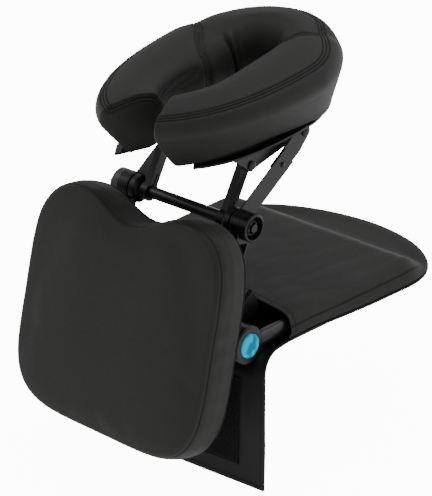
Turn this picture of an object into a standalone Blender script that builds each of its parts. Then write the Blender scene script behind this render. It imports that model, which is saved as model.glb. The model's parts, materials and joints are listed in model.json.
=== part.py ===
"""Desktop massage support: a face cradle and a chest pad on a folding frame that stands on a desk.

Metres, +Z up. X = 0 is the plane of symmetry and +X is the sitter's right-hand side as they face
the desk from -Y. Z = 0 is the desk top, and the desk's front edge is at Y = DESK_EDGE_Y.
"""

import math

import bmesh
import bpy
import numpy as np

# The desk and the vinyl sheets that lie on it.
DESK_EDGE_Y = -0.150
SHEET_HALF_WIDTH = 0.169
SHEET_STRAIGHT = 0.2744
SHEET_ROUND_END = 0.1341
SHEET_THICKNESS = 0.0024
FLAP_DROP = 0.173
FLAP_CORNER = 0.010
LOOP_PANEL_HALF_WIDTH = 0.128
LOOP_PANEL_TOP = 0.030
LOOP_PANEL_BOTTOM = 0.149
LOOP_PANEL_THICKNESS = 0.0016
ARCH_SIDE = 0.0455
ARCH_DEPTH = 0.0375
SHEET_LIFT = 0.0325
SHEET_MARGIN = 0.0015
SHEET_SLOPE_END = 0.3494
SHEET_SLOPE = 0.062

# The base frame.
RAIL_X = 0.142
RAIL_RADIUS = 0.011
RAIL_WALL = 0.0015
RAIL_AXIS_Z = 0.0205
RAIL_END = 0.235
ELBOW_BEND = 0.030
ELBOW_RADIUS = 0.0122
SADDLE_LENGTH = 0.030
SADDLE_HALF_WIDTH = 0.0130
SADDLE_PLACES = (0.060, 0.190)

# The knuckles at the desk edge, and the shaft through them.
KNUCKLE_AHEAD = 0.014
KNUCKLE_Z = 0.0265
KNUCKLE_RADIUS = 0.025
KNUCKLE_IN = 0.110
KNUCKLE_OUT = 0.155
CAP_RADIUS = 0.0162
CAP_RECESS = 0.0030
CAP_DOME = 0.0042
SHAFT_RADIUS = 0.009

# The upright arms and the crossbar that they carry.
CROSSBAR_BEHIND_EDGE = 0.044
CROSSBAR_Z = 0.1525
CROSSBAR_RADIUS = 0.0078
ARM_IN = 0.0872
ARM_OUT = 0.1002
ARM_FOOT_RADIUS = 0.019
ARM_WEB = 0.0265
ARM_FLANGE = 0.0038
ARM_WINDOWS = 5
HUB_RADIUS = 0.0182
HUB_IN = 0.0710
HUB_OUT = 0.1120
HUB_FACE_DEPTH = 0.0060
HUB_RIM = 0.0030
HUB_BOSS = 0.0022
HUB_BOSS_RADIUS = 0.0095
HUB_SPOKES = 5
HUB_SPOKE_HALF_ANGLE = 0.22
BOLT_HEAD_RADIUS = 0.0062
HUB_BOLT_HEIGHT = 0.0036

# The cradle's struts, braces and brackets.
STRUT_IN = 0.0585
STRUT_OUT = 0.0690
STRUT_WIDTH = 0.0150
CLAMP_RADIUS = 0.0122
CLAMP_SLIT = 0.0020
CLAMP_SLIT_END = 0.0230
CLAMP_SCREW_AT = 0.0150
CLAMP_SCREW_HEIGHT = 0.0024
CLAMP_SCREW_RADIUS = 0.0034
FRONT_PIVOT = (0.0800, 0.2155)
REAR_PIVOT = (0.1720, 0.2337)
PIVOT_RADIUS = 0.0032
PIVOT_SLACK = 0.0018
BRACE_WIDTH = 0.0275
BRACE_THICKNESS = 0.0018
BRACE_IN = 0.0829
BRACE_LAP = (0.082, 0.113)
BRACE_HEAD = 0.0088
BRACE_SHOULDER = 0.020
BRACE_SLOT_REACH = 0.0115
BRACE_SLOT_RADIUS = 0.0026
RIVET_RADIUS = 0.0036
RIVET_HEIGHT = 0.0019
BRACKET_IN = 0.0726
BRACKET_THICKNESS = 0.0030
BRACKET_OVERHANG = 0.030
BRACKET_END_DEPTH = 0.0055
BRACKET_EAR = 0.0085
BOLT_HEAD = 0.0030
BOLT_RECESS = 0.0010

# The cradle platform and its cushion, in the cushion's own tilted plane.
CUSHION_TILT = math.radians(5.0)
CUSHION_BEHIND_EDGE = 0.167
CUSHION_Z = 0.250
CUSHION_HALF_WIDTH = 0.131
CUSHION_FRONT = 0.244
CUSHION_BACK = 0.126
CUSHION_TAPER = -0.16
CUSHION_BAND = 0.047
CUSHION_INNER_SIDE = 0.055
CUSHION_INNER_BACK = 0.034
CUSHION_HEIGHT = 0.085
CUSHION_TIP_ANGLE = math.radians(20.0)
CUSHION_NOSE = ((0.006, 0.90), (0.010, 0.72))
PLATE_THICKNESS = 0.0030
PLATE_INNER = -0.026
PLATE_OUTER = 0.0200
PLATE_SWELL = 0.0060
PLATE_TIP_ANGLE = math.radians(29.0)
HOOK_INNER = -0.014
HOOK_OUTER = 0.006
HOOK_THICKNESS = 0.0016

# The chest pad, in its own pitched plane.
PAD_PITCH = math.radians(13.35)
PAD_AHEAD = 0.1051
PAD_HALF_WIDTH = 0.155
PAD_TOP = 0.197
PAD_BOTTOM = -0.107
PAD_POWER = 4.4
PAD_NOTCH = 0.030
PAD_NOTCH_WIDTH = 0.060
PAD_THICKNESS = 0.0560
BOARD_THICKNESS = 0.0060
BOARD_INSET = 0.010
TRACK_HALF_WIDTH = 0.018
TRACK_LENGTH = (-0.065, 0.105)
TRACK_THICKNESS = 0.0050
CLAMP_BLOCK = 0.030
CLAMP_HALF_WIDTH = 0.022
KNOB_RADIUS = 0.011
KNOB_HEIGHT = 0.012

# Levers.
CAM_LEVER_LENGTH = 0.0200
CAM_LEVER_ROOT = 0.0046
CAM_LEVER_TIP = 0.0034
CAM_LEVER_LEAN = 0.0070
CAM_LEVER_THICKNESS = 0.0040
CAM_POST_REACH = 0.0080
CAM_POST_RADIUS = 0.0042
LEVER_IN = 0.1012
LEVER_OUT = 0.1088
LEVER_REACH = 0.072
LEVER_ANGLE = math.radians(21.0)
LEVER_FAN = math.radians(14.0)
LEVER_RING = 0.0150
LEVER_NECK = 0.0050
LEVER_NECK_ANGLE = 0.36

GAP = 0.0003
SEGMENTS = 28

MATERIALS = {}


def material(name, color, roughness, metallic=0.0, coat=0.0):
    """A Principled material, made once for each name."""
    if name not in MATERIALS:
        made = bpy.data.materials.new(name)
        made.use_nodes = True
        shader = made.node_tree.nodes["Principled BSDF"]
        shader.inputs["Base Color"].default_value = (*color, 1.0)
        shader.inputs["Roughness"].default_value = roughness
        shader.inputs["Metallic"].default_value = metallic
        shader.inputs["Coat Weight"].default_value = coat
        MATERIALS[name] = made
    return MATERIALS[name]


def vinyl():
    return material("vinyl", (0.034, 0.033, 0.031), 0.55)


def plastic():
    return material("black_plastic", (0.017, 0.017, 0.019), 0.42)


def tube_paint():
    return material("tube_paint", (0.020, 0.021, 0.024), 0.35)


def steel():
    return material("dark_steel", (0.16, 0.16, 0.17), 0.35, metallic=0.9)


def cap_blue():
    return material("cap_blue", (0.010, 0.36, 0.62), 0.12, coat=1.0)


def webbing():
    return material("webbing", (0.012, 0.012, 0.012), 0.9)


def board_wood():
    return material("board", (0.30, 0.21, 0.12), 0.7)


def rubber():
    return material("rubber", (0.014, 0.014, 0.014), 0.8)


def add_object(name, points, faces, look, smooth=True):
    """One named object from points and faces, with its faces pointing outwards."""
    mesh = bpy.data.meshes.new(name)
    mesh.from_pydata([tuple(map(float, point)) for point in points], [], faces)
    work = bmesh.new()
    work.from_mesh(mesh)
    bmesh.ops.recalc_face_normals(work, faces=work.faces)
    work.to_mesh(mesh)
    work.free()
    mesh.update()
    made = bpy.data.objects.new(name, mesh)
    bpy.context.collection.objects.link(made)
    if look is not None:
        mesh.materials.append(look)
    if smooth:
        mesh.shade_smooth()
        mesh.set_sharp_from_angle(angle=math.radians(35.0))
    return made


def to_cutter(made):
    """Hides an object that only cuts others."""
    made.hide_render = True
    made.display_type = "WIRE"
    return made


def cut(made, cutter):
    """Takes the cutter's shape out of an object."""
    boolean = made.modifiers.new("cut_" + cutter.name, "BOOLEAN")
    boolean.operation = "DIFFERENCE"
    boolean.solver = "EXACT"
    boolean.object = to_cutter(cutter)


def set_origin(made, place):
    """Moves an object's origin to a place on its joint's axis, and leaves its shape where it is."""
    offset = np.array(place, float)
    count = len(made.data.vertices)
    points = np.empty(count * 3)
    made.data.vertices.foreach_get("co", points)
    points = points.reshape(-1, 3) - offset
    made.data.vertices.foreach_set("co", points.ravel())
    made.data.update()
    made.location = offset


def prism_x(name, outline, low, high, look, smooth=True):
    """A solid between two X planes from an anticlockwise outline of (y, z) points."""
    count = len(outline)
    points = [(low, y, z) for y, z in outline] + [(high, y, z) for y, z in outline]
    faces = [tuple(reversed(range(count))), tuple(range(count, 2 * count))]
    for i in range(count):
        j = (i + 1) % count
        faces.append((i, j, count + j, count + i))
    return add_object(name, points, faces, look, smooth)


def circle(centre, radius, segments=SEGMENTS, start=0.0, turn=2.0 * math.pi, closed=True):
    """Points on a circle or, where it isn't closed, on an arc with both of its ends."""
    steps = segments if closed else segments - 1
    angles = [start + turn * i / steps for i in range(segments)]
    return [(centre[0] + radius * math.cos(a), centre[1] + radius * math.sin(a)) for a in angles]


def ring_x(name, centre, radius, hole, low, high, look, segments=SEGMENTS):
    """A tube or ring along X, open at both ends."""
    rows = [(radius, low), (radius, high), (hole, high), (hole, low)]
    points = []
    for size, x in rows:
        points += [(x, y, z) for y, z in circle(centre, size, segments)]
    faces = []
    for row in range(4):
        for i in range(segments):
            j = (i + 1) % segments
            a = row * segments
            b = ((row + 1) % 4) * segments
            faces.append((a + i, a + j, b + j, b + i))
    return add_object(name, points, faces, look)


def turned_x(name, centre, profile, look, segments=SEGMENTS):
    """A solid turned about an axis along X, from (x, radius) points that start and end on the axis."""
    points = []
    for x, radius in profile[1:-1]:
        points += [(x, y, z) for y, z in circle(centre, radius, segments)]
    first = len(points)
    points += [(profile[0][0], *centre), (profile[-1][0], *centre)]
    faces = []
    rows = len(profile) - 2
    for row in range(rows - 1):
        for i in range(segments):
            j = (i + 1) % segments
            a = row * segments
            b = a + segments
            faces.append((a + i, a + j, b + j, b + i))
    last = (rows - 1) * segments
    for i in range(segments):
        j = (i + 1) % segments
        faces.append((first, j, i))
        faces.append((first + 1, last + i, last + j))
    return add_object(name, points, faces, look)


def loft(name, sections, look, smooth=True):
    """A solid through closed sections of equal point count, with a face on each end."""
    count = len(sections[0])
    points = [point for section in sections for point in section]
    faces = [tuple(reversed(range(count)))]
    for row in range(len(sections) - 1):
        for i in range(count):
            j = (i + 1) % count
            a = row * count
            b = a + count
            faces.append((a + i, a + j, b + j, b + i))
    last = (len(sections) - 1) * count
    faces.append(tuple(range(last, last + count)))
    return add_object(name, points, faces, look, smooth)


def behind(distance):
    """The Y of a place this far behind the desk's front edge."""
    return DESK_EDGE_Y + distance


def both_sides(build):
    """Builds a piece on the right-hand side and on the left-hand side."""
    for side, word in ((1.0, "right"), (-1.0, "left")):
        build(side, word)


def span(side, low, high):
    """The low and high X of a piece that lies between two distances from the middle."""
    return (low, high) if side > 0 else (-high, -low)


KNUCKLE = (behind(-KNUCKLE_AHEAD), KNUCKLE_Z)
CROSSBAR = (behind(CROSSBAR_BEHIND_EDGE), CROSSBAR_Z)
FRONT = (behind(FRONT_PIVOT[0]), FRONT_PIVOT[1])
REAR = (behind(REAR_PIVOT[0]), REAR_PIVOT[1])


def along(start, end, distance, aside=0.0):
    """The (y, z) point this far from start towards end, and this far to the left of that line."""
    length = math.dist(start, end)
    step = ((end[0] - start[0]) / length, (end[1] - start[1]) / length)
    return (
        start[0] + step[0] * distance - step[1] * aside,
        start[1] + step[1] * distance + step[0] * aside,
    )


def link_outline(start, end, start_radius, end_radius, half_width):
    """A bar with round ends: two discs joined by straight edges of the given half width."""
    direction = math.atan2(end[1] - start[1], end[0] - start[0])
    at_start = math.asin(min(1.0, half_width / start_radius))
    at_end = math.asin(min(1.0, half_width / end_radius))
    steps = SEGMENTS * 2 // 3
    turn_start = 2.0 * math.pi - 2.0 * at_start
    turn_end = 2.0 * math.pi - 2.0 * at_end
    first = circle(start, start_radius, steps, direction + at_start, turn_start, closed=False)
    last = circle(end, end_radius, steps, direction + math.pi + at_end, turn_end, closed=False)
    return first + last


# Sheets.


def sheet_outline():
    """The base sheet's outline as (x, y): straight sides, then half an ellipse."""
    width = SHEET_HALF_WIDTH
    centre = behind(SHEET_STRAIGHT)
    angles = np.linspace(0.0, math.pi, 25)
    end = [(width * math.cos(a), centre + SHEET_ROUND_END * math.sin(a)) for a in angles]
    return [(-width, behind(0.0)), (width, behind(0.0))] + end


def build_base_sheet():
    outline = sheet_outline()
    count = len(outline)
    points = [(x, y, 0.0) for x, y in outline]
    points += [(x, y, SHEET_THICKNESS) for x, y in outline]
    faces = [tuple(reversed(range(count))), tuple(range(count, 2 * count))]
    for i in range(count):
        j = (i + 1) % count
        faces.append((i, j, count + j, count + i))
    add_object("base_sheet", points, faces, vinyl(), smooth=False)


def build_front_flap():
    """The part of the lower sheet that folds over the desk edge and hangs down its front."""
    back = behind(-GAP)
    front = back - SHEET_THICKNESS
    top = -GAP
    radius = FLAP_CORNER
    width = SHEET_HALF_WIDTH
    quarter = math.pi / 2
    middle = -FLAP_DROP + radius
    low_left = circle((radius - width, middle), radius, 6, math.pi, quarter, False)
    low_right = circle((width - radius, middle), radius, 6, -quarter, quarter, False)
    outline = low_left + low_right + [(width, top), (-width, top)]
    count = len(outline)
    points = [(x, front, z) for x, z in outline] + [(x, back, z) for x, z in outline]
    faces = [tuple(range(count)), tuple(reversed(range(count, 2 * count)))]
    for i in range(count):
        j = (i + 1) % count
        faces.append((j, i, count + i, count + j))
    flap = add_object("front_flap", points, faces, vinyl(), smooth=False)
    set_origin(flap, (0.0, back, top))


def build_loop_panel():
    front = behind(-2.0 * GAP) - SHEET_THICKNESS
    low = (-LOOP_PANEL_HALF_WIDTH, front - LOOP_PANEL_THICKNESS, -LOOP_PANEL_BOTTOM)
    high = (LOOP_PANEL_HALF_WIDTH, front, -LOOP_PANEL_TOP)
    panel = box("flap_loop_panel", low, high, webbing())
    set_origin(panel, (0.0, behind(-GAP), -GAP))


def box(name, low, high, look, smooth=False):
    points = [(x, y, z) for x in (low[0], high[0]) for y in (low[1], high[1]) for z in (low[2], high[2])]
    faces = [(0, 1, 3, 2), (4, 6, 7, 5), (0, 4, 5, 1), (2, 3, 7, 6), (0, 2, 6, 4), (1, 5, 7, 3)]
    return add_object(name, points, faces, look, smooth)


def step_up(value):
    """A smooth step from 0 to 1 as the value goes from 0 to 1."""
    value = min(1.0, max(0.0, value))
    return value * value * (3.0 - 2.0 * value)


def sheet_rise(x, distance):
    """How far the upper sheet stands off the lower one, where the frame lifts it."""
    edge = step_up((SHEET_HALF_WIDTH - SHEET_MARGIN - abs(x)) / (SHEET_HALF_WIDTH - RAIL_X - RAIL_RADIUS))
    rear = step_up((SHEET_SLOPE_END - distance) / SHEET_SLOPE)
    return SHEET_LIFT * edge * rear


def build_top_sheet():
    """The upper sheet: an arched front edge, a lift over the frame, and the lower sheet's round end."""
    across = np.linspace(-1.0, 1.0, 27)
    across = np.sign(across) * (1.0 - (1.0 - np.abs(across)) ** 1.6)
    down = np.linspace(0.0, 1.0, 17)
    lower = []
    for u in across:
        reach = math.sqrt(max(0.0, 1.0 - u * u))
        start = ARCH_SIDE + ARCH_DEPTH * reach ** 0.9
        end = SHEET_STRAIGHT + (SHEET_ROUND_END - SHEET_MARGIN) * reach
        for v in down:
            distance = start + (end - start) * v
            x = u * (SHEET_HALF_WIDTH - SHEET_MARGIN)
            lower.append((x, distance, SHEET_THICKNESS + GAP + sheet_rise(x, distance)))
    rows, columns = len(across), len(down)
    points = [(x, behind(y), z) for x, y, z in lower]
    points += [(x, behind(y), z + SHEET_THICKNESS) for x, y, z in lower]
    half = rows * columns
    faces = []
    for i in range(rows - 1):
        for j in range(columns - 1):
            a, b = i * columns + j, (i + 1) * columns + j
            faces.append((a, a + 1, b + 1, b))
            faces.append((half + a, half + b, half + b + 1, half + a + 1))
    rim = [i * columns for i in range(rows)]
    rim += [(rows - 1) * columns + j for j in range(1, columns)]
    rim += [i * columns + columns - 1 for i in range(rows - 2, -1, -1)]
    rim += [j for j in range(columns - 2, 0, -1)]
    for a, b in zip(rim, rim[1:] + rim[:1]):
        faces.append((a, b, half + b, half + a))
    add_object("top_sheet", points, faces, vinyl())


# The base frame.


def build_rail(side, word):
    """A straight tube from the knuckle's back to the rear elbow."""
    reach = math.sqrt(KNUCKLE_RADIUS**2 - (KNUCKLE_Z - RAIL_AXIS_Z) ** 2)
    start = KNUCKLE[0] + reach + 0.0012
    end = behind(RAIL_END)
    centre = (side * RAIL_X, RAIL_AXIS_Z)
    tube_y(f"side_rail_{word}", centre, RAIL_RADIUS, RAIL_RADIUS - RAIL_WALL, start, end, tube_paint())


def tube_y(name, centre, radius, hole, low, high, look, segments=24):
    """A tube along Y, open at both ends, from its (x, z) centre."""
    rows = [(radius, low), (hole, low), (hole, high), (radius, high)]
    points = []
    for size, y in rows:
        points += [(x, y, z) for x, z in circle(centre, size, segments)]
    faces = []
    for row in range(4):
        for i in range(segments):
            j = (i + 1) % segments
            a = row * segments
            b = ((row + 1) % 4) * segments
            faces.append((a + i, b + i, b + j, a + j))
    return add_object(name, points, faces, look)


def build_elbow(side, word):
    """A moulded elbow that turns the rail through a right angle to the rear cross tube."""
    centre = (side * (RAIL_X - ELBOW_BEND), behind(RAIL_END + GAP))
    sections = []
    for i in range(9):
        turn = math.radians(90.0) * i / 8
        outward = (side * math.cos(turn), math.sin(turn))
        middle = (centre[0] + ELBOW_BEND * outward[0], centre[1] + ELBOW_BEND * outward[1])
        section = []
        for j in range(20):
            a = 2.0 * math.pi * j / 20
            r = ELBOW_RADIUS * math.cos(a)
            h = ELBOW_RADIUS * math.sin(a)
            section.append((middle[0] + outward[0] * r, middle[1] + outward[1] * r, RAIL_AXIS_Z + h))
        sections.append(section if side < 0 else section[::-1])
    loft(f"rail_elbow_{word}", sections, plastic())


def build_rear_cross_tube():
    centre = (behind(RAIL_END + GAP) + ELBOW_BEND, RAIL_AXIS_Z)
    reach = RAIL_X - ELBOW_BEND - GAP
    hole = RAIL_RADIUS - RAIL_WALL
    ring_x("rear_cross_tube", centre, RAIL_RADIUS, hole, -reach, reach, tube_paint(), 24)


def build_saddles(side, word):
    """Rubber blocks that carry the rail on the lower sheet."""
    for place, position in zip(SADDLE_PLACES, ("front", "rear")):
        centre = (side * RAIL_X, RAIL_AXIS_Z)
        base = SHEET_THICKNESS + GAP
        arc = circle(centre, RAIL_RADIUS + GAP, 11, math.radians(200.0), math.radians(140.0), False)
        foot = (centre[0] - SADDLE_HALF_WIDTH, centre[0] + SADDLE_HALF_WIDTH)
        outline = [(foot[0], base), (foot[1], base)] + arc[::-1]
        count = len(outline)
        low, high = behind(place), behind(place + SADDLE_LENGTH)
        points = [(x, low, z) for x, z in outline] + [(x, high, z) for x, z in outline]
        faces = [tuple(range(count)), tuple(reversed(range(count, 2 * count)))]
        for i in range(count):
            j = (i + 1) % count
            faces.append((j, i, count + i, count + j))
        add_object(f"rail_saddle_{position}_{word}", points, faces, rubber(), smooth=False)


# Knuckles.


def build_knuckle(side, word):
    """The barrel at the desk edge, bored for the shaft and recessed for its cap."""
    face = KNUCKLE_OUT
    profile = [
        (KNUCKLE_IN, SHAFT_RADIUS + GAP),
        (KNUCKLE_IN, KNUCKLE_RADIUS - 0.0020),
        (KNUCKLE_IN + 0.0015, KNUCKLE_RADIUS - 0.0005),
        (face - 0.0075, KNUCKLE_RADIUS - 0.0005),
        (face - 0.0070, KNUCKLE_RADIUS),
        (face - 0.0015, KNUCKLE_RADIUS),
        (face, KNUCKLE_RADIUS - 0.0015),
        (face, CAP_RADIUS + 0.0005),
        (face - CAP_RECESS, CAP_RADIUS + 0.0005),
        (face - CAP_RECESS, SHAFT_RADIUS + GAP),
    ]
    hollow_turned(f"knuckle_housing_{word}", KNUCKLE, side, profile, plastic())


def hollow_turned(name, centre, side, profile, look, segments=SEGMENTS):
    """A ring turned about an axis along X from a closed (distance from the middle, radius) profile."""
    points = []
    for x, radius in profile:
        points += [(side * x, y, z) for y, z in circle(centre, radius, segments)]
    faces = []
    rows = len(profile)
    for row in range(rows):
        for i in range(segments):
            j = (i + 1) % segments
            a = row * segments
            b = ((row + 1) % rows) * segments
            faces.append((a + i, a + j, b + j, b + i))
    return add_object(name, points, faces, look)


def build_cap(side, word):
    """The domed cap that closes the knuckle's outer end."""
    base = KNUCKLE_OUT - CAP_RECESS + GAP
    rim = KNUCKLE_OUT + 0.0004
    profile = [(base, 0.0), (base, CAP_RADIUS), (rim, CAP_RADIUS)]
    for i in range(1, 6):
        turn = math.radians(90.0) * i / 6
        profile.append((rim + (CAP_DOME - 0.0004) * math.sin(turn), CAP_RADIUS * math.cos(turn)))
    profile.append((KNUCKLE_OUT + CAP_DOME, 0.0))
    profile = [(side * x, radius) for x, radius in profile]
    turned_x(f"knuckle_cap_{word}", KNUCKLE, profile, cap_blue())


def build_shaft():
    reach = KNUCKLE_OUT - CAP_RECESS
    profile = [(-reach, 0.0), (-reach, SHAFT_RADIUS), (reach, SHAFT_RADIUS), (reach, 0.0)]
    turned_x("front_cross_shaft", KNUCKLE, profile, tube_paint())


# Uprights.


def build_arm(side, word):
    """An upright with a truss of triangular windows between its foot ring and its head ring."""
    low, high = span(side, ARM_IN, ARM_OUT)
    outline = link_outline(KNUCKLE, CROSSBAR, ARM_FOOT_RADIUS, HUB_RADIUS, ARM_WEB / 2)
    arm = prism_x(f"upright_arm_{word}", outline, low, high, plastic())
    through = (low - 0.004, high + 0.004)
    foot = circle(KNUCKLE, SHAFT_RADIUS + GAP)
    cut(arm, prism_x(f"arm_foot_bore_{word}", foot, *through, None))
    head = circle(CROSSBAR, CROSSBAR_RADIUS + GAP)
    cut(arm, prism_x(f"arm_head_bore_{word}", head, *through, None))
    length = math.dist(KNUCKLE, CROSSBAR)
    first = ARM_FOOT_RADIUS + 0.004
    last = length - HUB_RADIUS - 0.003
    pitch = (last - first) / ARM_WINDOWS
    half = ARM_WEB / 2 - ARM_FLANGE
    for i in range(ARM_WINDOWS):
        start = first + pitch * i
        up = 1.0 if i % 2 == 0 else -1.0
        tip = (start + pitch * 0.78, up * half * 0.75)
        corners = [(start, -up * half), (start + pitch * 1.55, -up * half), tip]
        outline = [along(KNUCKLE, CROSSBAR, min(distance, last), aside) for distance, aside in corners]
        if up < 0:
            outline.reverse()
        cut(arm, prism_x(f"arm_window_{word}_{i}", outline, *through, None))
    set_origin(arm, (0.0, *KNUCKLE))


def build_crossbar():
    reach = HUB_OUT - HUB_FACE_DEPTH - 0.0015
    profile = [(-reach, 0.0), (-reach, CROSSBAR_RADIUS), (reach, CROSSBAR_RADIUS), (reach, 0.0)]
    bar = turned_x("crossbar", CROSSBAR, profile, tube_paint(), 24)
    set_origin(bar, (0.0, *CROSSBAR))


def build_clutch_drum(side, word):
    """The inner half of the hub, which turns with the struts."""
    hole = CROSSBAR_RADIUS + GAP
    profile = [
        (HUB_IN, hole),
        (HUB_IN, HUB_RADIUS - 0.0060),
        (HUB_IN + 0.0025, HUB_RADIUS - 0.0012),
        (HUB_IN + 0.0040, HUB_RADIUS),
        (BRACE_IN - GAP, HUB_RADIUS),
        (BRACE_IN - GAP, hole),
    ]
    drum = hollow_turned(f"clutch_drum_{word}", CROSSBAR, side, profile, plastic())
    set_origin(drum, (0.0, *CROSSBAR))


def build_hub_cap(side, word):
    """The outer half of the hub: a rim, a recessed face with windows, and a centre boss."""
    hole = CROSSBAR_RADIUS + GAP
    face = HUB_OUT - HUB_FACE_DEPTH
    profile = [
        (ARM_OUT + GAP, hole),
        (ARM_OUT + GAP, HUB_RADIUS),
        (HUB_OUT - 0.0012, HUB_RADIUS),
        (HUB_OUT, HUB_RADIUS - 0.0012),
        (HUB_OUT, HUB_RADIUS - HUB_RIM),
        (face, HUB_RADIUS - HUB_RIM),
        (face, HUB_BOSS_RADIUS),
        (face + HUB_BOSS, HUB_BOSS_RADIUS - 0.0005),
        (face + HUB_BOSS, hole),
    ]
    hub = hollow_turned(f"hub_cap_{word}", CROSSBAR, side, profile, plastic())
    low, high = span(side, face - 0.0032, face + 0.0040)
    for i in range(HUB_SPOKES):
        start = 2.0 * math.pi * i / HUB_SPOKES + HUB_SPOKE_HALF_ANGLE
        turn = 2.0 * math.pi / HUB_SPOKES - 2.0 * HUB_SPOKE_HALF_ANGLE
        outer = circle(CROSSBAR, HUB_RADIUS - HUB_RIM - 0.0004, 6, start, turn, False)
        inner = circle(CROSSBAR, HUB_BOSS_RADIUS + 0.0009, 6, start, turn, False)
        cut(hub, prism_x(f"hub_window_{word}_{i}", outer + inner[::-1], low, high, None))
    set_origin(hub, (0.0, *CROSSBAR))


def hexagon(centre, radius):
    return circle(centre, radius, 6, math.radians(15.0))


def build_hub_bolt():
    """The hex bolt that holds the right-hand hub on the crossbar."""
    face = HUB_OUT - HUB_FACE_DEPTH + HUB_BOSS + GAP
    outline = hexagon(CROSSBAR, BOLT_HEAD_RADIUS)
    bolt = prism_x("hub_bolt", outline, face, face + HUB_BOLT_HEIGHT, steel(), False)
    set_origin(bolt, (0.0, *CROSSBAR))


def build_cam():
    """The quick-release cam on the left-hand hub: a post with a cross pin, and its lever."""
    face = -(HUB_OUT - HUB_FACE_DEPTH + HUB_BOSS + GAP)
    tip = -(HUB_OUT + CAM_POST_REACH)
    profile = [(face, 0.0), (face, CAM_POST_RADIUS), (tip, CAM_POST_RADIUS), (tip, 0.0)]
    post = turned_x("cam_post", CROSSBAR, profile, steel(), 20)
    set_origin(post, (0.0, *CROSSBAR))
    centre = CROSSBAR
    pivot_x = -(HUB_OUT + CAM_POST_REACH / 2)
    low = centre[1] - CAM_LEVER_LENGTH
    tip_x = pivot_x - CAM_LEVER_LEAN
    root, tip = CAM_LEVER_ROOT, CAM_LEVER_TIP
    outline = link_outline((pivot_x, centre[1]), (tip_x, low), root, tip, tip)
    count = len(outline)
    back = centre[0] - CAM_POST_RADIUS - GAP
    points = []
    for y in (back - CAM_LEVER_THICKNESS, back):
        points += [(x, y, z) for x, z in outline]
    faces = [tuple(range(count)), tuple(reversed(range(count, 2 * count)))]
    for i in range(count):
        j = (i + 1) % count
        faces.append((j, i, count + i, count + j))
    lever = add_object("cam_lever", points, faces, steel())
    set_origin(lever, (pivot_x, centre[0], centre[1]))


# The cradle's linkage.


def build_front_strut(side, word):
    """A strut clamped on the crossbar by a split eye, up to the platform bracket's front pivot."""
    low, high = span(side, STRUT_IN, STRUT_OUT)
    outline = link_outline(CROSSBAR, FRONT, CLAMP_RADIUS, STRUT_WIDTH / 2 + 0.0010, STRUT_WIDTH / 2)
    strut = prism_x(f"front_strut_{word}", outline, low, high, plastic())
    through = (low - 0.002, high + 0.002)
    bore = circle(CROSSBAR, CROSSBAR_RADIUS + GAP)
    cut(strut, prism_x(f"strut_bore_{word}", bore, *through, None))
    eye = circle(FRONT, PIVOT_RADIUS + GAP, 20)
    cut(strut, prism_x(f"strut_eye_{word}", eye, *through, None))
    slit = [
        along(CROSSBAR, FRONT, 0.0, -CLAMP_SLIT / 2),
        along(CROSSBAR, FRONT, CLAMP_SLIT_END, -CLAMP_SLIT / 2),
        along(CROSSBAR, FRONT, CLAMP_SLIT_END, CLAMP_SLIT / 2),
        along(CROSSBAR, FRONT, 0.0, CLAMP_SLIT / 2),
    ]
    cut(strut, prism_x(f"strut_slit_{word}", slit, *through, None))
    set_origin(strut, (0.0, *CROSSBAR))


def build_clamp_screw(side, word):
    """The screw that draws the split eye together, seen as a small head on the strut's edge."""
    edge = -STRUT_WIDTH / 2 - GAP
    start = along(CROSSBAR, FRONT, CLAMP_SCREW_AT, edge)
    end = along(CROSSBAR, FRONT, CLAMP_SCREW_AT, edge - CLAMP_SCREW_HEIGHT)
    middle = side * (STRUT_IN + STRUT_OUT) / 2
    head = rod(f"clamp_screw_{word}", (middle, *start), (middle, *end), CLAMP_SCREW_RADIUS, steel())
    set_origin(head, (0.0, *CROSSBAR))


def rod(name, start, end, radius, look, segments=16):
    """A solid rod between two points."""
    a = np.array(start)
    b = np.array(end)
    direction = (b - a) / np.linalg.norm(b - a)
    first = np.cross(direction, (1.0, 0.0, 0.0))
    if np.linalg.norm(first) < 0.1:
        first = np.cross(direction, (0.0, 0.0, 1.0))
    first /= np.linalg.norm(first)
    second = np.cross(direction, first)
    angles = [2.0 * math.pi * i / segments for i in range(segments)]
    spokes = [radius * (math.cos(t) * first + math.sin(t) * second) for t in angles]
    return loft(name, [[a + spoke for spoke in spokes], [b + spoke for spoke in spokes]], look)


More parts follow.
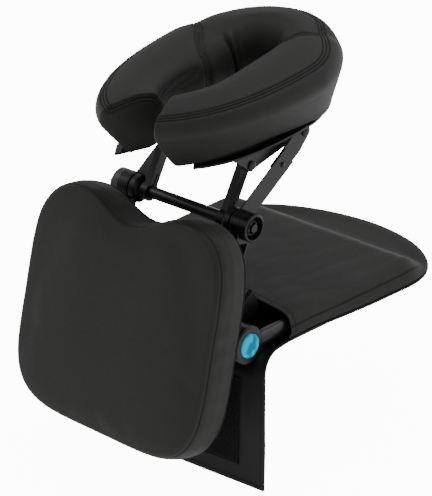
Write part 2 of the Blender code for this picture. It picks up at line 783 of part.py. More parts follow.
def build_brace(side, word):
    """The two lapped leaves of the sliding brace from the hub to the bracket's rear pivot."""
    length = math.dist(CROSSBAR, REAR)
    half = BRACE_WIDTH / 2
    inner = span(side, BRACE_IN, BRACE_IN + BRACE_THICKNESS)
    outer = span(side, BRACE_IN + BRACE_THICKNESS + GAP, BRACE_IN + 2 * BRACE_THICKNESS + GAP)
    direction = math.atan2(REAR[1] - CROSSBAR[1], REAR[0] - CROSSBAR[0])
    eye = math.asin(half / HUB_RADIUS)
    foot = circle(CROSSBAR, HUB_RADIUS, 22, direction + eye, 2.0 * math.pi - 2.0 * eye, False)
    end = [along(CROSSBAR, REAR, BRACE_LAP[1], -half), along(CROSSBAR, REAR, BRACE_LAP[1], half)]
    lower = prism_x(f"brace_lower_{word}", foot + end, *outer, tube_paint())
    bore = circle(CROSSBAR, CROSSBAR_RADIUS + GAP, 24)
    cut(lower, prism_x(f"brace_bore_{word}", bore, *(outer[0] - 0.001, outer[1] + 0.001), None))
    set_origin(lower, (0.0, *CROSSBAR))
    head = circle(REAR, BRACE_HEAD, 16, direction - math.pi / 2, math.pi, False)
    shoulder = length - BRACE_SHOULDER
    begin = [along(CROSSBAR, REAR, shoulder, half), along(CROSSBAR, REAR, BRACE_LAP[0], half)]
    begin += [along(CROSSBAR, REAR, BRACE_LAP[0], -half), along(CROSSBAR, REAR, shoulder, -half)]
    upper = prism_x(f"brace_upper_{word}", head + begin, *inner, tube_paint())
    hole = circle(REAR, PIVOT_RADIUS + PIVOT_SLACK, 20)
    cut(upper, prism_x(f"brace_eye_{word}", hole, *(inner[0] - 0.001, inner[1] + 0.001), None))
    slot_middle = (BRACE_LAP[0] + BRACE_LAP[1]) / 2
    slot = link_outline(
        along(CROSSBAR, REAR, slot_middle - BRACE_SLOT_REACH),
        along(CROSSBAR, REAR, slot_middle + BRACE_SLOT_REACH),
        BRACE_SLOT_RADIUS,
        BRACE_SLOT_RADIUS,
        BRACE_SLOT_RADIUS * 0.996,
    )
    cut(upper, prism_x(f"brace_slot_{word}", slot, *(inner[0] - 0.001, inner[1] + 0.001), None))
    build_brace_rivet(side, word, inner, outer)


def build_brace_rivet(side, word, inner, outer):
    """The rivet that holds the leaves together: a head outside the lower leaf."""
    middle = along(CROSSBAR, REAR, (BRACE_LAP[0] + BRACE_LAP[1]) / 2)
    face = max(map(abs, outer)) + GAP
    profile = [
        (face, 0.0),
        (face, RIVET_RADIUS),
        (face + RIVET_HEIGHT * 0.47, RIVET_RADIUS * 0.94),
        (face + RIVET_HEIGHT * 0.84, RIVET_RADIUS * 0.61),
        (face + RIVET_HEIGHT, 0.0),
    ]
    profile = [(side * x, radius) for x, radius in profile]
    rivet = turned_x(f"brace_rivet_{word}", middle, profile, steel(), 16)
    set_origin(rivet, (0.0, *CROSSBAR))


def cushion_plane(distance):
    """The height of the cushion's underside plane this far behind the desk edge."""
    return CUSHION_Z + math.tan(CUSHION_TILT) * (distance - CUSHION_BEHIND_EDGE)


def plate_underside(distance):
    drop = (GAP + HOOK_THICKNESS + GAP + PLATE_THICKNESS + GAP) / math.cos(CUSHION_TILT)
    return cushion_plane(distance) - drop - GAP


def build_bracket(side, word):
    """The side plate under the platform that carries the strut's and the brace's pivots."""
    first = FRONT_PIVOT[0] - BRACKET_OVERHANG
    last = REAR_PIVOT[0] + BRACKET_OVERHANG
    turn = math.radians(110.0)
    outline = [(first, plate_underside(first) - BRACKET_END_DEPTH)]
    outline += circle(FRONT_PIVOT, BRACKET_EAR, 9, math.radians(200.0), turn, False)
    outline += circle(REAR_PIVOT, BRACKET_EAR, 9, math.radians(250.0), turn, False)
    outline += [(last, plate_underside(last) - BRACKET_END_DEPTH)]
    outline += [(last, plate_underside(last)), (first, plate_underside(first))]
    outline = [(behind(y), z) for y, z in outline]
    low, high = span(side, BRACKET_IN, BRACKET_IN + BRACKET_THICKNESS)
    bracket = prism_x(f"platform_bracket_{word}", outline, low, high, plastic())
    through = (low - 0.002, high + 0.002)
    for pivot, place in ((FRONT, "front"), (REAR, "rear")):
        hole = circle(pivot, PIVOT_RADIUS + GAP, 20)
        cut(bracket, prism_x(f"bracket_{place}_hole_{word}", hole, *through, None))
    set_origin(bracket, (0.0, *FRONT))


def build_front_bolt(side, word):
    """Shank through the strut and the bracket, with a domed head outside."""
    start = STRUT_IN + BOLT_RECESS
    face = BRACKET_IN + BRACKET_THICKNESS + GAP
    profile = [(start, 0.0), (start, PIVOT_RADIUS), (face, PIVOT_RADIUS)]
    profile += bolt_head(face)
    profile = [(side * x, radius) for x, radius in profile]
    bolt = turned_x(f"front_pivot_bolt_{word}", FRONT, profile, steel(), 20)
    set_origin(bolt, (0.0, *FRONT))


def bolt_head(face):
    """The (x, radius) points of a domed bolt head on a face."""
    return [
        (face, BOLT_HEAD_RADIUS),
        (face + BOLT_HEAD * 0.5, BOLT_HEAD_RADIUS),
        (face + BOLT_HEAD * 0.85, BOLT_HEAD_RADIUS * 0.7),
        (face + BOLT_HEAD, 0.0),
    ]


def build_rear_bolt(side, word):
    """Shank from the bracket through the brace's eye, with a domed head outside."""
    start = BRACKET_IN
    face = BRACE_IN + BRACE_THICKNESS + GAP
    profile = [(start, 0.0), (start, PIVOT_RADIUS), (face, PIVOT_RADIUS)]
    profile += bolt_head(face)
    profile = [(side * x, radius) for x, radius in profile]
    bolt = turned_x(f"rear_pivot_bolt_{word}", REAR, profile, steel(), 20)
    set_origin(bolt, (0.0, *FRONT))


# The platform and the cushion share one horseshoe path.


def horseshoe(angle, offset):
    """A point of the horseshoe in its plane, offset outwards from the middle of its band."""
    width = CUSHION_HALF_WIDTH - CUSHION_BAND + offset
    reach = CUSHION_BACK if math.sin(angle) > 0 else CUSHION_FRONT
    y = math.sin(angle) * (reach - CUSHION_BAND + offset)
    x = math.cos(angle) * width * (1.0 + CUSHION_TAPER * math.sin(angle))
    return x, y


def to_world(x, y, height):
    """From the cushion's plane (x, y, height off its underside) to world coordinates."""
    cos, sin = math.cos(CUSHION_TILT), math.sin(CUSHION_TILT)
    return (
        x,
        behind(CUSHION_BEHIND_EDGE) + y * cos - height * sin,
        CUSHION_Z + y * sin + height * cos,
    )


def horseshoe_angles(count, tip=CUSHION_TIP_ANGLE):
    """Angles from the right-hand tip round the back to the left-hand tip."""
    start = -math.pi / 2 + tip
    end = 3 * math.pi / 2 - tip
    return [start + (end - start) * i / (count - 1) for i in range(count)]


def horseshoe_band(name, section_at, count, look, tip=CUSHION_TIP_ANGLE, nose=()):
    """A closed band along the horseshoe; section_at gives its (offset, height) points at an angle.

    Each nose entry is (distance past the tip, scale) of a smaller section that rounds the ends.
    """
    stations = []
    angles = horseshoe_angles(count, tip)
    for angle in angles:
        stations.append([(*horseshoe(angle, a), h) for a, h in section_at(angle)])
    for at_end in (False, True):
        angle = angles[-1] if at_end else angles[0]
        section = section_at(angle)
        middle = (min(a for a, h in section) + max(a for a, h in section)) / 2
        centre_h = max(h for a, h in section) / 2
        near = angles[-2] if at_end else angles[1]
        here = np.array(horseshoe(angle, middle))
        before = np.array(horseshoe(near, middle))
        forward = (here - before) / np.linalg.norm(here - before)
        for distance, scale in nose:
            ring = []
            for a, h in section:
                flat = np.array(horseshoe(angle, middle + (a - middle) * scale))
                flat = flat + forward * distance
                ring.append((flat[0], flat[1], centre_h + (h - centre_h) * scale))
            if at_end:
                stations.append(ring)
            else:
                stations.insert(0, ring)
    world = [[to_world(*point) for point in station] for station in stations]
    return loft(name, world, look)


def cushion_section(angle):
    """The band's section: flared outer wall, crowned top, and an inner wall that is nearer at the sides."""
    outer, top = CUSHION_BAND, CUSHION_HEIGHT
    inner = CUSHION_INNER_BACK + (CUSHION_INNER_SIDE - CUSHION_INNER_BACK) * math.cos(angle) ** 2
    return [
        (0.014 - inner, 0.0),
        (outer - 0.035, 0.0),
        (outer - 0.016, top * 0.22),
        (outer - 0.005, top * 0.46),
        (outer, top * 0.68),
        (outer - 0.004, top * 0.83),
        (outer - 0.014, top * 0.95),
        (outer - 0.030, top),
        (0.018 - inner, top),
        (0.005 - inner, top * 0.94),
        (-inner, top * 0.78),
        (-inner, top * 0.50),
        (0.004 - inner, top * 0.22),
    ]


def plate_section(angle):
    """A flat strip under the cushion, wider towards the back."""
    top = -GAP - HOOK_THICKNESS - GAP
    low = top - PLATE_THICKNESS
    outer = PLATE_OUTER + PLATE_SWELL * math.sin(angle)
    return [(PLATE_INNER, low), (outer, low), (outer, top), (PLATE_INNER, top)]


def hook_section(angle):
    """The hook-and-loop strip between the plate and the cushion."""
    low = -GAP - HOOK_THICKNESS
    return [(HOOK_INNER, low), (HOOK_OUTER, low), (HOOK_OUTER, -GAP), (HOOK_INNER, -GAP)]


def build_face_cushion():
    band = horseshoe_band("face_cushion", cushion_section, 35, vinyl(), nose=CUSHION_NOSE)
    set_origin(band, to_world(0.0, 0.0, 0.0))


def build_platform():
    plate = horseshoe_band("platform_plate", plate_section, 35, plastic(), PLATE_TIP_ANGLE)
    set_origin(plate, (0.0, *FRONT))
    strip = horseshoe_band("hook_strip", hook_section, 27, webbing(), PLATE_TIP_ANGLE)
    set_origin(strip, (0.0, *FRONT))


# The chest pad.


def pad_point(x, up, depth):
    """From the pad's plane (across, up its face, depth behind its face) to world coordinates."""
    cos, sin = math.cos(PAD_PITCH), math.sin(PAD_PITCH)
    return (x, behind(-PAD_AHEAD) + up * sin + depth * cos, up * cos - depth * sin)


def pad_outline(inset=0.0, count=48):
    """The pad's outline: a superellipse with a shallow notch in its top edge."""
    middle = (PAD_TOP + PAD_BOTTOM) / 2
    width = PAD_HALF_WIDTH - inset
    height = (PAD_TOP - PAD_BOTTOM) / 2 - inset
    outline = []
    for i in range(count):
        angle = 2.0 * math.pi * i / count
        c, s = math.cos(angle), math.sin(angle)
        size = (abs(c) ** PAD_POWER + abs(s) ** PAD_POWER) ** (-1.0 / PAD_POWER)
        x, up = width * size * c, middle + height * size * s
        if s > 0:
            up -= PAD_NOTCH * math.exp(-((x / PAD_NOTCH_WIDTH) ** 2)) * s**2
        outline.append((x, up))
    return outline


def pad_layers(name, layers, look):
    """A solid through copies of the pad's outline, each with its own inset and depth."""
    sections = []
    for inset, depth in layers:
        sections.append([pad_point(x, up, depth) for x, up in pad_outline(inset)])
    return loft(name, [section[::-1] for section in sections], look)


def build_chest_pad():
    back = PAD_THICKNESS - BOARD_THICKNESS - GAP
    layers = [(0.016, -0.0040), (0.004, 0.0), (0.0, 0.006), (-0.002, back / 2)]
    layers += [(0.0, back - 0.004), (0.003, back)]
    pad = pad_layers("chest_pad", layers, vinyl())
    set_origin(pad, (0.0, *KNUCKLE))
    layers = [(BOARD_INSET, back + GAP), (BOARD_INSET, PAD_THICKNESS)]
    board = pad_layers("pad_board", layers, board_wood())
    set_origin(board, (0.0, *KNUCKLE))


def pad_box(name, half_width, low, high, front, back, look):
    """A block in the pad's frame, between two heights and two depths."""
    points = []
    for x in (-half_width, half_width):
        for depth in (front, back):
            for up in (low, high):
                points.append(pad_point(x, up, depth))
    faces = [(0, 1, 3, 2), (4, 6, 7, 5), (0, 4, 5, 1), (2, 3, 7, 6), (0, 2, 6, 4), (1, 5, 7, 3)]
    return add_object(name, points, faces, look, smooth=False)


def build_pad_mount():
    """The track screwed to the board, the clamp block on the shaft, and its locking knob."""
    face = PAD_THICKNESS + GAP
    track = pad_box(
        "pad_track", TRACK_HALF_WIDTH, *TRACK_LENGTH, face, face + TRACK_THICKNESS, tube_paint()
    )
    set_origin(track, (0.0, *KNUCKLE))
    cos, sin = math.cos(PAD_PITCH), math.sin(PAD_PITCH)
    across = KNUCKLE[0] - behind(-PAD_AHEAD)
    up = across * sin + KNUCKLE_Z * cos
    depth = across * cos - KNUCKLE_Z * sin
    half = CLAMP_BLOCK / 2
    front = face + TRACK_THICKNESS + GAP
    low, high = up - half, up + half
    block = pad_box("pad_clamp_block", CLAMP_HALF_WIDTH, low, high, front, depth + half, plastic())
    bore = circle(KNUCKLE, SHAFT_RADIUS + GAP)
    reach = CLAMP_HALF_WIDTH + 0.004
    cut(block, prism_x("clamp_block_bore", bore, -reach, reach, None))
    set_origin(block, (0.0, *KNUCKLE))
    start = pad_point(0.0, up, depth + half + GAP)
    end = pad_point(0.0, up, depth + half + GAP + KNOB_HEIGHT)
    knob = rod("pad_lock_knob", start, end, KNOB_RADIUS, plastic(), 24)
    set_origin(knob, start)


def lever_point(share, turn):
    """A (y, z) point this share of the lever's reach from the shaft, turned from its middle line."""
    reach = LEVER_REACH * share
    angle = LEVER_ANGLE + turn
    return (KNUCKLE[0] + reach * math.cos(angle), KNUCKLE[1] + reach * math.sin(angle))


def build_lock_lever(side, word):
    """The release paddle on the shaft between the arm and the knuckle."""
    low, high = span(side, LEVER_IN, LEVER_OUT)
    start = LEVER_ANGLE + LEVER_NECK_ANGLE
    turn = 2.0 * math.pi - 2.0 * LEVER_NECK_ANGLE
    foot = circle(KNUCKLE, LEVER_RING, 20, start, turn, False)
    outer = [lever_point(1.0, LEVER_FAN * s) for s in (-1.0, -0.5, 0.0, 0.5, 1.0)]
    inner_low = lever_point(0.72, -LEVER_FAN)
    inner_high = lever_point(0.66, LEVER_FAN)
    tip = lever_point(1.0, 0.0)
    waist_low = along(KNUCKLE, tip, LEVER_REACH * 0.45, -LEVER_NECK)
    waist_high = along(KNUCKLE, tip, LEVER_REACH * 0.45, LEVER_NECK)
    outline = foot + [waist_low, inner_low] + outer + [inner_high, waist_high]
    lever = prism_x(f"lock_lever_{word}", outline, low, high, plastic())
    bore = circle(KNUCKLE, SHAFT_RADIUS + GAP)
    cut(lever, prism_x(f"lever_bore_{word}", bore, low - 0.002, high + 0.002, None))
    set_origin(lever, (0.0, *KNUCKLE))


def main():
    for made in list(bpy.data.objects):
        bpy.data.objects.remove(made, do_unlink=True)
    build_base_sheet()
    build_front_flap()
    build_loop_panel()
    build_top_sheet()
    both_sides(build_rail)
    both_sides(build_elbow)
    build_rear_cross_tube()
    both_sides(build_saddles)
    both_sides(build_knuckle)
    both_sides(build_cap)
    build_shaft()
    both_sides(build_arm)
    both_sides(build_lock_lever)
    build_crossbar()
    both_sides(build_clutch_drum)
    both_sides(build_hub_cap)
    build_hub_bolt()
    build_cam()
    both_sides(build_front_strut)
    both_sides(build_clamp_screw)
    both_sides(build_brace)
    both_sides(build_bracket)
    both_sides(build_front_bolt)
    both_sides(build_rear_bolt)
    build_platform()
    build_face_cushion()
    build_chest_pad()
    build_pad_mount()


main()
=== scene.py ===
# Desktop massage support: the looks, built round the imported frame.
import json
import math

import bmesh
import bpy
import numpy as np
from mathutils import Matrix, Vector

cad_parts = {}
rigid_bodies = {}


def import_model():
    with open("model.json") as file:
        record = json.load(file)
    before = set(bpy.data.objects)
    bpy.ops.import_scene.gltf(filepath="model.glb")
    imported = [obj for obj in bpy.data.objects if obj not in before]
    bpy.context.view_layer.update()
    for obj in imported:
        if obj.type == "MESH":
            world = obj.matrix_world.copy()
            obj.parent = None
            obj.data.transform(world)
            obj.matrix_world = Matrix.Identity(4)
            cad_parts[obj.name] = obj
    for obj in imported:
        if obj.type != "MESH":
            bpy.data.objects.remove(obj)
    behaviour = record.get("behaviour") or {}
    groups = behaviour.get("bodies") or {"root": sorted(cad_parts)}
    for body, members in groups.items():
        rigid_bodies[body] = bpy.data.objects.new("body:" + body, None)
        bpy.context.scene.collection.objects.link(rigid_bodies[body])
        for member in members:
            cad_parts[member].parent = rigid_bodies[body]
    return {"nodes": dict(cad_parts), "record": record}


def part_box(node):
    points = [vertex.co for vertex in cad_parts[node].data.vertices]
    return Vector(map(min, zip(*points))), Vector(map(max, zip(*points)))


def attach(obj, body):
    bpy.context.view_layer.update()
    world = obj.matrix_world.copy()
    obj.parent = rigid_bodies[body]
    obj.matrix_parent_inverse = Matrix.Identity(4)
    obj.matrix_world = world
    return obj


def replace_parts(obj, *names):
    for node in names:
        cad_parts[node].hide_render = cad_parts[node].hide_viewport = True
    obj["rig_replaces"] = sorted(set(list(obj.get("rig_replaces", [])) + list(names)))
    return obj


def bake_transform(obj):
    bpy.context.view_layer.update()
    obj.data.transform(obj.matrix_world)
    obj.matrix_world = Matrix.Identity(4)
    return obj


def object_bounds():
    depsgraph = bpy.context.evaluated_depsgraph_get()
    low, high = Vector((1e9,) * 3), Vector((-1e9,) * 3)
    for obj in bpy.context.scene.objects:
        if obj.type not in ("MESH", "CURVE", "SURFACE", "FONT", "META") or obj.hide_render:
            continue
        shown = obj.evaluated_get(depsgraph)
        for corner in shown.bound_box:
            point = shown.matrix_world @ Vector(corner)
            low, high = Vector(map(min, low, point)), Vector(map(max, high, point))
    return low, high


for old in list(bpy.data.objects):
    bpy.data.objects.remove(old, do_unlink=True)

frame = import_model()
cadLow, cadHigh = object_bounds()
print("frame loaded:", len(frame["nodes"]), "nodes")

view = {"azimuth": 41.162, "elevation": 24.415, "focal": 508.06, "place": (5.2628, -6.0700, 3.7036)}
room = {"floorDrop": 0.006, "floorSize": 24.0, "sky": 0.80, "key": 25.0, "fill": 3.5, "top": 33.0,
        "rear": 10.0, "glow": 12.0, "dim": 0.06}


# Camera matrix: back axis (sin a cos e, -cos a cos e, sin e), right axis (cos a, sin a, 0).
def aim(place, azimuth, elevation):
    a, e = math.radians(azimuth), math.radians(elevation)
    back = Vector((math.sin(a) * math.cos(e), -math.cos(a) * math.cos(e), math.sin(e)))
    right = Vector((math.cos(a), math.sin(a), 0.0))
    turned = Matrix((right, back.cross(right), back)).transposed().to_4x4()
    turned.translation = Vector(place)
    return turned


lens = bpy.data.cameras.new("view")
lens.sensor_width = 36.0
lens.lens = view["focal"]
lens.clip_start, lens.clip_end = 0.1, 100.0
camera = bpy.data.objects.new("view", lens)
bpy.context.scene.collection.objects.link(camera)
camera.matrix_world = aim(view["place"], view["azimuth"], view["elevation"])
bpy.context.scene.camera = camera


# A square lamp that looks at a point.
def areaLight(name, place, target, size, power):
    lamp = bpy.data.lights.new(name, "AREA")
    lamp.shape, lamp.size, lamp.energy = "SQUARE", size, power
    made = bpy.data.objects.new(name, lamp)
    bpy.context.scene.collection.objects.link(made)
    made.location = place
    made.rotation_euler = (Vector(target) - Vector(place)).to_track_quat("-Z", "Y").to_euler()


areaLight("key", (-1.6, -1.5, 2.6), (0.0, -0.05, 0.05), 1.6, room["key"])
areaLight("fill", (2.9, -1.2, 1.3), (0.0, -0.05, 0.05), 1.8, room["fill"])
areaLight("top", (0.3, 1.3, 2.8), (0.0, 0.0, 0.1), 2.2, room["top"])
areaLight("rear", (1.4, 2.3, 1.3), (0.0, 0.0, 0.1), 1.6, room["rear"])

sky = bpy.data.worlds.new("sky")
bpy.context.scene.world = sky
sky.use_nodes = True
sky.node_tree.nodes["Background"].inputs["Color"].default_value = (1.0, 1.0, 1.0, 1.0)
sky.node_tree.nodes["Background"].inputs["Strength"].default_value = room["sky"]


# One socket of a material, so that patterns are added and multiplied like numbers.
class Tone:
    def __init__(self, look, socket):
        self.look, self.socket = look, socket

    def maths(self, operation, first, second):
        return self.look.add("Math", {"operation": operation}, {0: first, 1: second})

    def __add__(self, other):
        return self.maths("ADD", self, other)

    def __radd__(self, other):
        return self.maths("ADD", other, self)

    def __sub__(self, other):
        return self.maths("SUBTRACT", self, other)

    def __rsub__(self, other):
        return self.maths("SUBTRACT", other, self)

    def __mul__(self, other):
        return self.maths("MULTIPLY", self, other)

    def __rmul__(self, other):
        return self.maths("MULTIPLY", other, self)

    # 0 below low, 1 above high, smooth in between.
    def between(self, low, high):
        return self.look.add("MapRange", {"interpolation_type": "SMOOTHSTEP"}, {0: self, 1: low, 2: high})


# A Principled material; constants go on the shader's own sockets.
class Look:
    def __init__(self, name, color, roughness, **constants):
        self.material = bpy.data.materials.new(name)
        self.material.use_nodes = True
        self.tree = self.material.node_tree
        self.shader = self.tree.nodes["Principled BSDF"]
        self.shader.inputs["Base Color"].default_value = (*color, 1.0)
        self.shader.inputs["Roughness"].default_value = roughness
        for key, value in constants.items():
            self.shader.inputs[key.replace("_", " ")].default_value = value
        self.place = self.add("TexCoord", {}, {}, "Object")

    # Any other node: its type, its settings, then the values or links of its sockets.
    def add(self, kind, settings, sockets, output=0):
        node = self.tree.nodes.new("ShaderNode" + kind)
        stops = settings.pop("stops", None)
        for key, value in settings.items():
            setattr(node, key, value)
        if stops:
            ramp = node.color_ramp
            while len(ramp.elements) < len(stops):
                ramp.elements.new(0.5)
            for element, (position, shade) in zip(ramp.elements, stops):
                element.position, element.color = position, (*shade, 1.0)
        for key, value in sockets.items():
            if isinstance(value, Tone):
                self.tree.links.new(value.socket, node.inputs[key])
            else:
                node.inputs[key].default_value = value
        return Tone(self, node.outputs[output])

    def noise(self, scale, detail=3.0, place=None):
        where = self.place if place is None else place
        return self.add("TexNoise", {}, {"Vector": where, "Scale": scale, "Detail": detail})

    def cells(self, scale, feature="F1", place=None):
        where = self.place if place is None else place
        return self.add("TexVoronoi", {"feature": feature}, {"Vector": where, "Scale": scale})

    # A number painted on the piece's points.
    def layer(self, name):
        return self.add("Attribute", {"attribute_name": name}, {}, "Fac")

    # A colour between two colours.
    def mix(self, amount, first, second):
        first = first if isinstance(first, Tone) else (*first, 1.0)
        second = second if isinstance(second, Tone) else (*second, 1.0)
        return self.add("Mix", {"data_type": "RGBA"}, {0: amount, 6: first, 7: second}, 2)

    # Bump that feeds the shader's normal.
    def relief(self, height, strength, depth):
        bump = self.add("Bump", {}, {"Height": height, "Strength": strength, "Distance": depth})
        self.feed("Normal", bump)

    def feed(self, socket, tone):
        self.tree.links.new(tone.socket, self.shader.inputs[socket])


vinylFinish = {
    "color": (0.0098, 0.0095, 0.0088),
    "worn": (0.0140, 0.0136, 0.0127),
    # the darker colour below is painted shade, laid in the grain's valleys and the seam creases
    "creaseShade": (0.0022, 0.0021, 0.0020),
    "roughness": 0.52,
    "grain": 760.0,
}


# Leatherette: pebbled grain from cell edges, cloudy sheen, painted shade in the grain's
# valleys, and painted shade along the creases where seams are marked.
def vinylLook(name, finish, seams):
    look = Look(name, finish["color"], finish["roughness"], Specular_IOR_Level=0.24)
    wander = look.noise(240.0, 2.0)
    bent = look.add("VectorMath", {"operation": "MULTIPLY_ADD"},
                    {0: wander, 1: (0.0011, 0.0011, 0.0011), 2: look.place})
    pebble = look.cells(finish["grain"], "DISTANCE_TO_EDGE", bent).between(0.0, 0.32)
    pores = look.noise(2600.0, 2.0)
    cloud = look.noise(7.0, 4.0)
    shade = look.mix(cloud.between(0.30, 0.72) * 0.55, finish["color"], finish["worn"])
    # painted shade: the grain's valleys are darkened towards the crease colour
    shade = look.mix((1.0 - pebble) * 0.35, shade, finish["creaseShade"])
    rough = finish["roughness"] + 0.10 * cloud + 0.08 * (1.0 - pebble)
    height = pebble * 0.75 + pores * 0.25
    if seams:
        # painted shade: the seam creases marked on the points are darkened
        creaseShade = look.layer("creaseShade")
        shade = look.mix(creaseShade.between(0.25, 1.0) * 0.85, shade, finish["creaseShade"])
        rough = rough + 0.22 * creaseShade
        height = height * (1.0 - 0.6 * creaseShade)
    look.feed("Base Color", shade)
    look.feed("Roughness", rough)
    look.relief(height, 0.22, 0.00035)
    return look.material


# Moulded plastic: fine spark-eroded texture with slow gloss changes.
def plasticLook(name, color, roughness, texture):
    look = Look(name, color, roughness, Specular_IOR_Level=0.22)
    fine = look.noise(texture, 3.0)
    slow = look.noise(26.0, 3.0)
    paler = tuple(c * 1.7 + 0.001 for c in color)
    look.feed("Base Color", look.mix(slow.between(0.35, 0.75) * 0.5, color, paler))
    look.feed("Roughness", roughness + 0.14 * (slow - 0.5) + 0.10 * (fine - 0.5))
    look.relief(fine, 0.16, 0.0002)
    return look.material


# Metal or painted metal: fine lines drawn along one axis and faint handling marks.
def metalLook(name, color, roughness, metallic, stretch):
    look = Look(name, color, roughness, Metallic=metallic, Specular_IOR_Level=0.35)
    drawn = look.add("Mapping", {}, {"Vector": look.place, "Scale": stretch})
    lines = look.noise(60.0, 4.0, drawn)
    marks = look.noise(38.0, 5.0).between(0.55, 0.80)
    paler = tuple(c * 1.6 + 0.002 for c in color)
    look.feed("Base Color", look.mix(marks * 0.5 + lines * 0.2, color, paler))
    look.feed("Roughness", roughness + 0.12 * (lines - 0.5) + 0.10 * marks)
    look.relief(lines, 0.08, 0.0001)
    return look.material


# Loop tape: soft fuzz over ribs that are there in the mesh.
def tapeLook(name):
    look = Look(name, (0.004, 0.004, 0.004), 0.95,
                Sheen_Weight=0.04, Sheen_Roughness=0.5, Specular_IOR_Level=0.15)
    fuzz = look.noise(1500.0, 4.0)
    patch = look.noise(30.0, 3.0)
    shade = look.mix(fuzz * 0.6 + patch * 0.3, (0.0014, 0.0013, 0.0013), (0.0056, 0.0052, 0.0052))
    look.feed("Base Color", shade)
    look.relief(fuzz, 0.6, 0.0006)
    return look.material


# Glossy moulded cap: a clear coat over a blue that deepens in soft swirls.
def capLook(name):
    look = Look(name, (0.0002, 0.14, 0.24), 0.20,
                Specular_IOR_Level=0.0, Coat_Weight=0.015, Coat_Roughness=0.05)
    swirl = look.noise(70.0, 1.0)
    look.feed("Base Color", look.mix(swirl.between(0.42, 0.60), (0.0001, 0.180, 0.300), (0.0003, 0.400, 0.600)))
    look.feed("Roughness", 0.09 + 0.06 * look.noise(600.0))
    return look.material


# Dull rubber: fine unevenness in gloss and surface.
def rubberLook(name):
    look = Look(name, (0.006, 0.006, 0.006), 0.82, Specular_IOR_Level=0.25)
    fine = look.noise(900.0, 3.0)
    look.feed("Roughness", 0.76 + 0.14 * fine)
    look.relief(fine, 0.3, 0.0003)
    return look.material


# Stained plywood: stretched grain, darker in the pores.
def boardLook(name):
    look = Look(name, (0.055, 0.040, 0.026), 0.66)
    grain = look.add("Mapping", {}, {"Vector": look.place, "Scale": (90.0, 6.0, 6.0)})
    fibres = look.noise(3.0, 6.0, grain)
    pores = look.noise(9.0, 2.0, grain).between(0.60, 0.75)
    shade = look.mix(fibres.between(0.3, 0.7), (0.024, 0.018, 0.012), (0.042, 0.031, 0.020))
    look.feed("Base Color", look.mix(pores * 0.7, shade, (0.010, 0.007, 0.005)))
    look.feed("Roughness", 0.60 + 0.16 * fibres)
    look.relief(fibres - pores * 0.5, 0.3, 0.0004)
    return look.material


# Thread: two tones and a bump from one fine twist.
def threadLook(name):
    look = Look(name, (0.004, 0.004, 0.004), 0.72, Specular_IOR_Level=0.2)
    twist = look.noise(2400.0, 2.0)
    look.feed("Base Color", look.mix(twist, (0.0025, 0.0025, 0.0025), (0.0070, 0.0070, 0.0066)))
    look.relief(twist, 0.4, 0.0002)
    return look.material


# Pale floor: bright to the camera, dim as a lamp, so that the walls keep their tone.
def floorLook(name):
    look = Look(name, (0.90, 0.90, 0.90), 0.7,
                Emission_Color=(1.0, 1.0, 1.0, 1.0), Emission_Strength=room["glow"])
    soft = look.noise(3.0, 2.0)
    seen = look.add("LightPath", {}, {}, "Is Camera Ray")
    look.feed("Base Color", look.mix(soft, (0.89, 0.89, 0.89), (0.92, 0.92, 0.92)))
    look.feed("Emission Color", look.mix(seen, (room["dim"],) * 3, (1.0, 1.0, 1.0)))
    return look.material


sheetFinish = dict(vinylFinish, color=(0.0108, 0.0105, 0.0098), worn=(0.0155, 0.0151, 0.0142))
# The lower sheet's vinyl: a slightly reddish lining tone, painted darker as shade because the flap hangs in the
# pad's shadow.
shadedLiningFinish = dict(vinylFinish, color=(0.0034, 0.0031, 0.0032), worn=(0.0054, 0.0050, 0.0051))
finishes = {
    "shadedLining": vinylLook("shadedLiningVinyl", shadedLiningFinish, True),
    "pad": vinylLook("padVinyl", vinylFinish, True),
    "sheet": vinylLook("sheetVinyl", sheetFinish, True),
    "plastic": plasticLook("mouldedPlastic", (0.0034, 0.0033, 0.0035), 0.36, 1300.0),
    "satinTube": metalLook("satinTube", (0.0120, 0.0122, 0.0135), 0.30, 0.3, (1.0, 1.0, 1.0)),
    "powderCoat": plasticLook("powderCoat", (0.0058, 0.0057, 0.0059), 0.36, 2200.0),
    "steel": metalLook("boltSteel", (0.022, 0.022, 0.023), 0.28, 1.0, (1.0, 8.0, 8.0)),
    "bright": metalLook("leverSteel", (0.30, 0.30, 0.31), 0.32, 1.0, (8.0, 8.0, 1.0)),
    "greyHub": plasticLook("greyPlastic", (0.0400, 0.0400, 0.0430), 0.34, 1300.0),
    "tape": tapeLook("loopTape"),
    "cap": capLook("blueCap"),
    "rubber": rubberLook("saddleRubber"),
    "board": boardLook("stainedPly"),
    "thread": threadLook("thread"),
    "floor": floorLook("paleFloor"),
}
print("materials made:", len(finishes))


# Quads between neighbouring rows and columns of a grid; wrap joins the last column to the first.
def ringFaces(rows, columns, wrap):
    i = np.arange(rows - 1)[:, None]
    j = np.arange(columns if wrap else columns - 1)[None, :]
    k = (j + 1) % columns
    quads = np.stack([i * columns + j, i * columns + k, (i + 1) * columns + k, (i + 1) * columns + j], -1)
    return quads.reshape(-1, 4)


# Arrays of points and faces put into one mesh, turned to face outwards if its volume is negative.
def meshFrom(name, points, quads, triangles, material, smooth=True):
    points = np.asarray(points, float).reshape(-1, 3)
    quads = np.asarray(quads, int).reshape(-1, 4)
    triangles = np.asarray(triangles, int).reshape(-1, 3)
    corners = np.concatenate([triangles, quads[:, [0, 1, 2]], quads[:, [0, 2, 3]]])
    centred = points - points.mean(0)
    if np.linalg.det(centred[corners]).sum() < 0:
        quads, triangles = quads[:, ::-1], triangles[:, ::-1]
    mesh = bpy.data.meshes.new(name)
    mesh.from_pydata(points.tolist(), [], quads.tolist() + triangles.tolist())
    mesh.validate()
    mesh.polygons.foreach_set("use_smooth", np.full(len(mesh.polygons), smooth))
    mesh.materials.append(material)
    made = bpy.data.objects.new(name, mesh)
    bpy.context.scene.collection.objects.link(made)
    return made


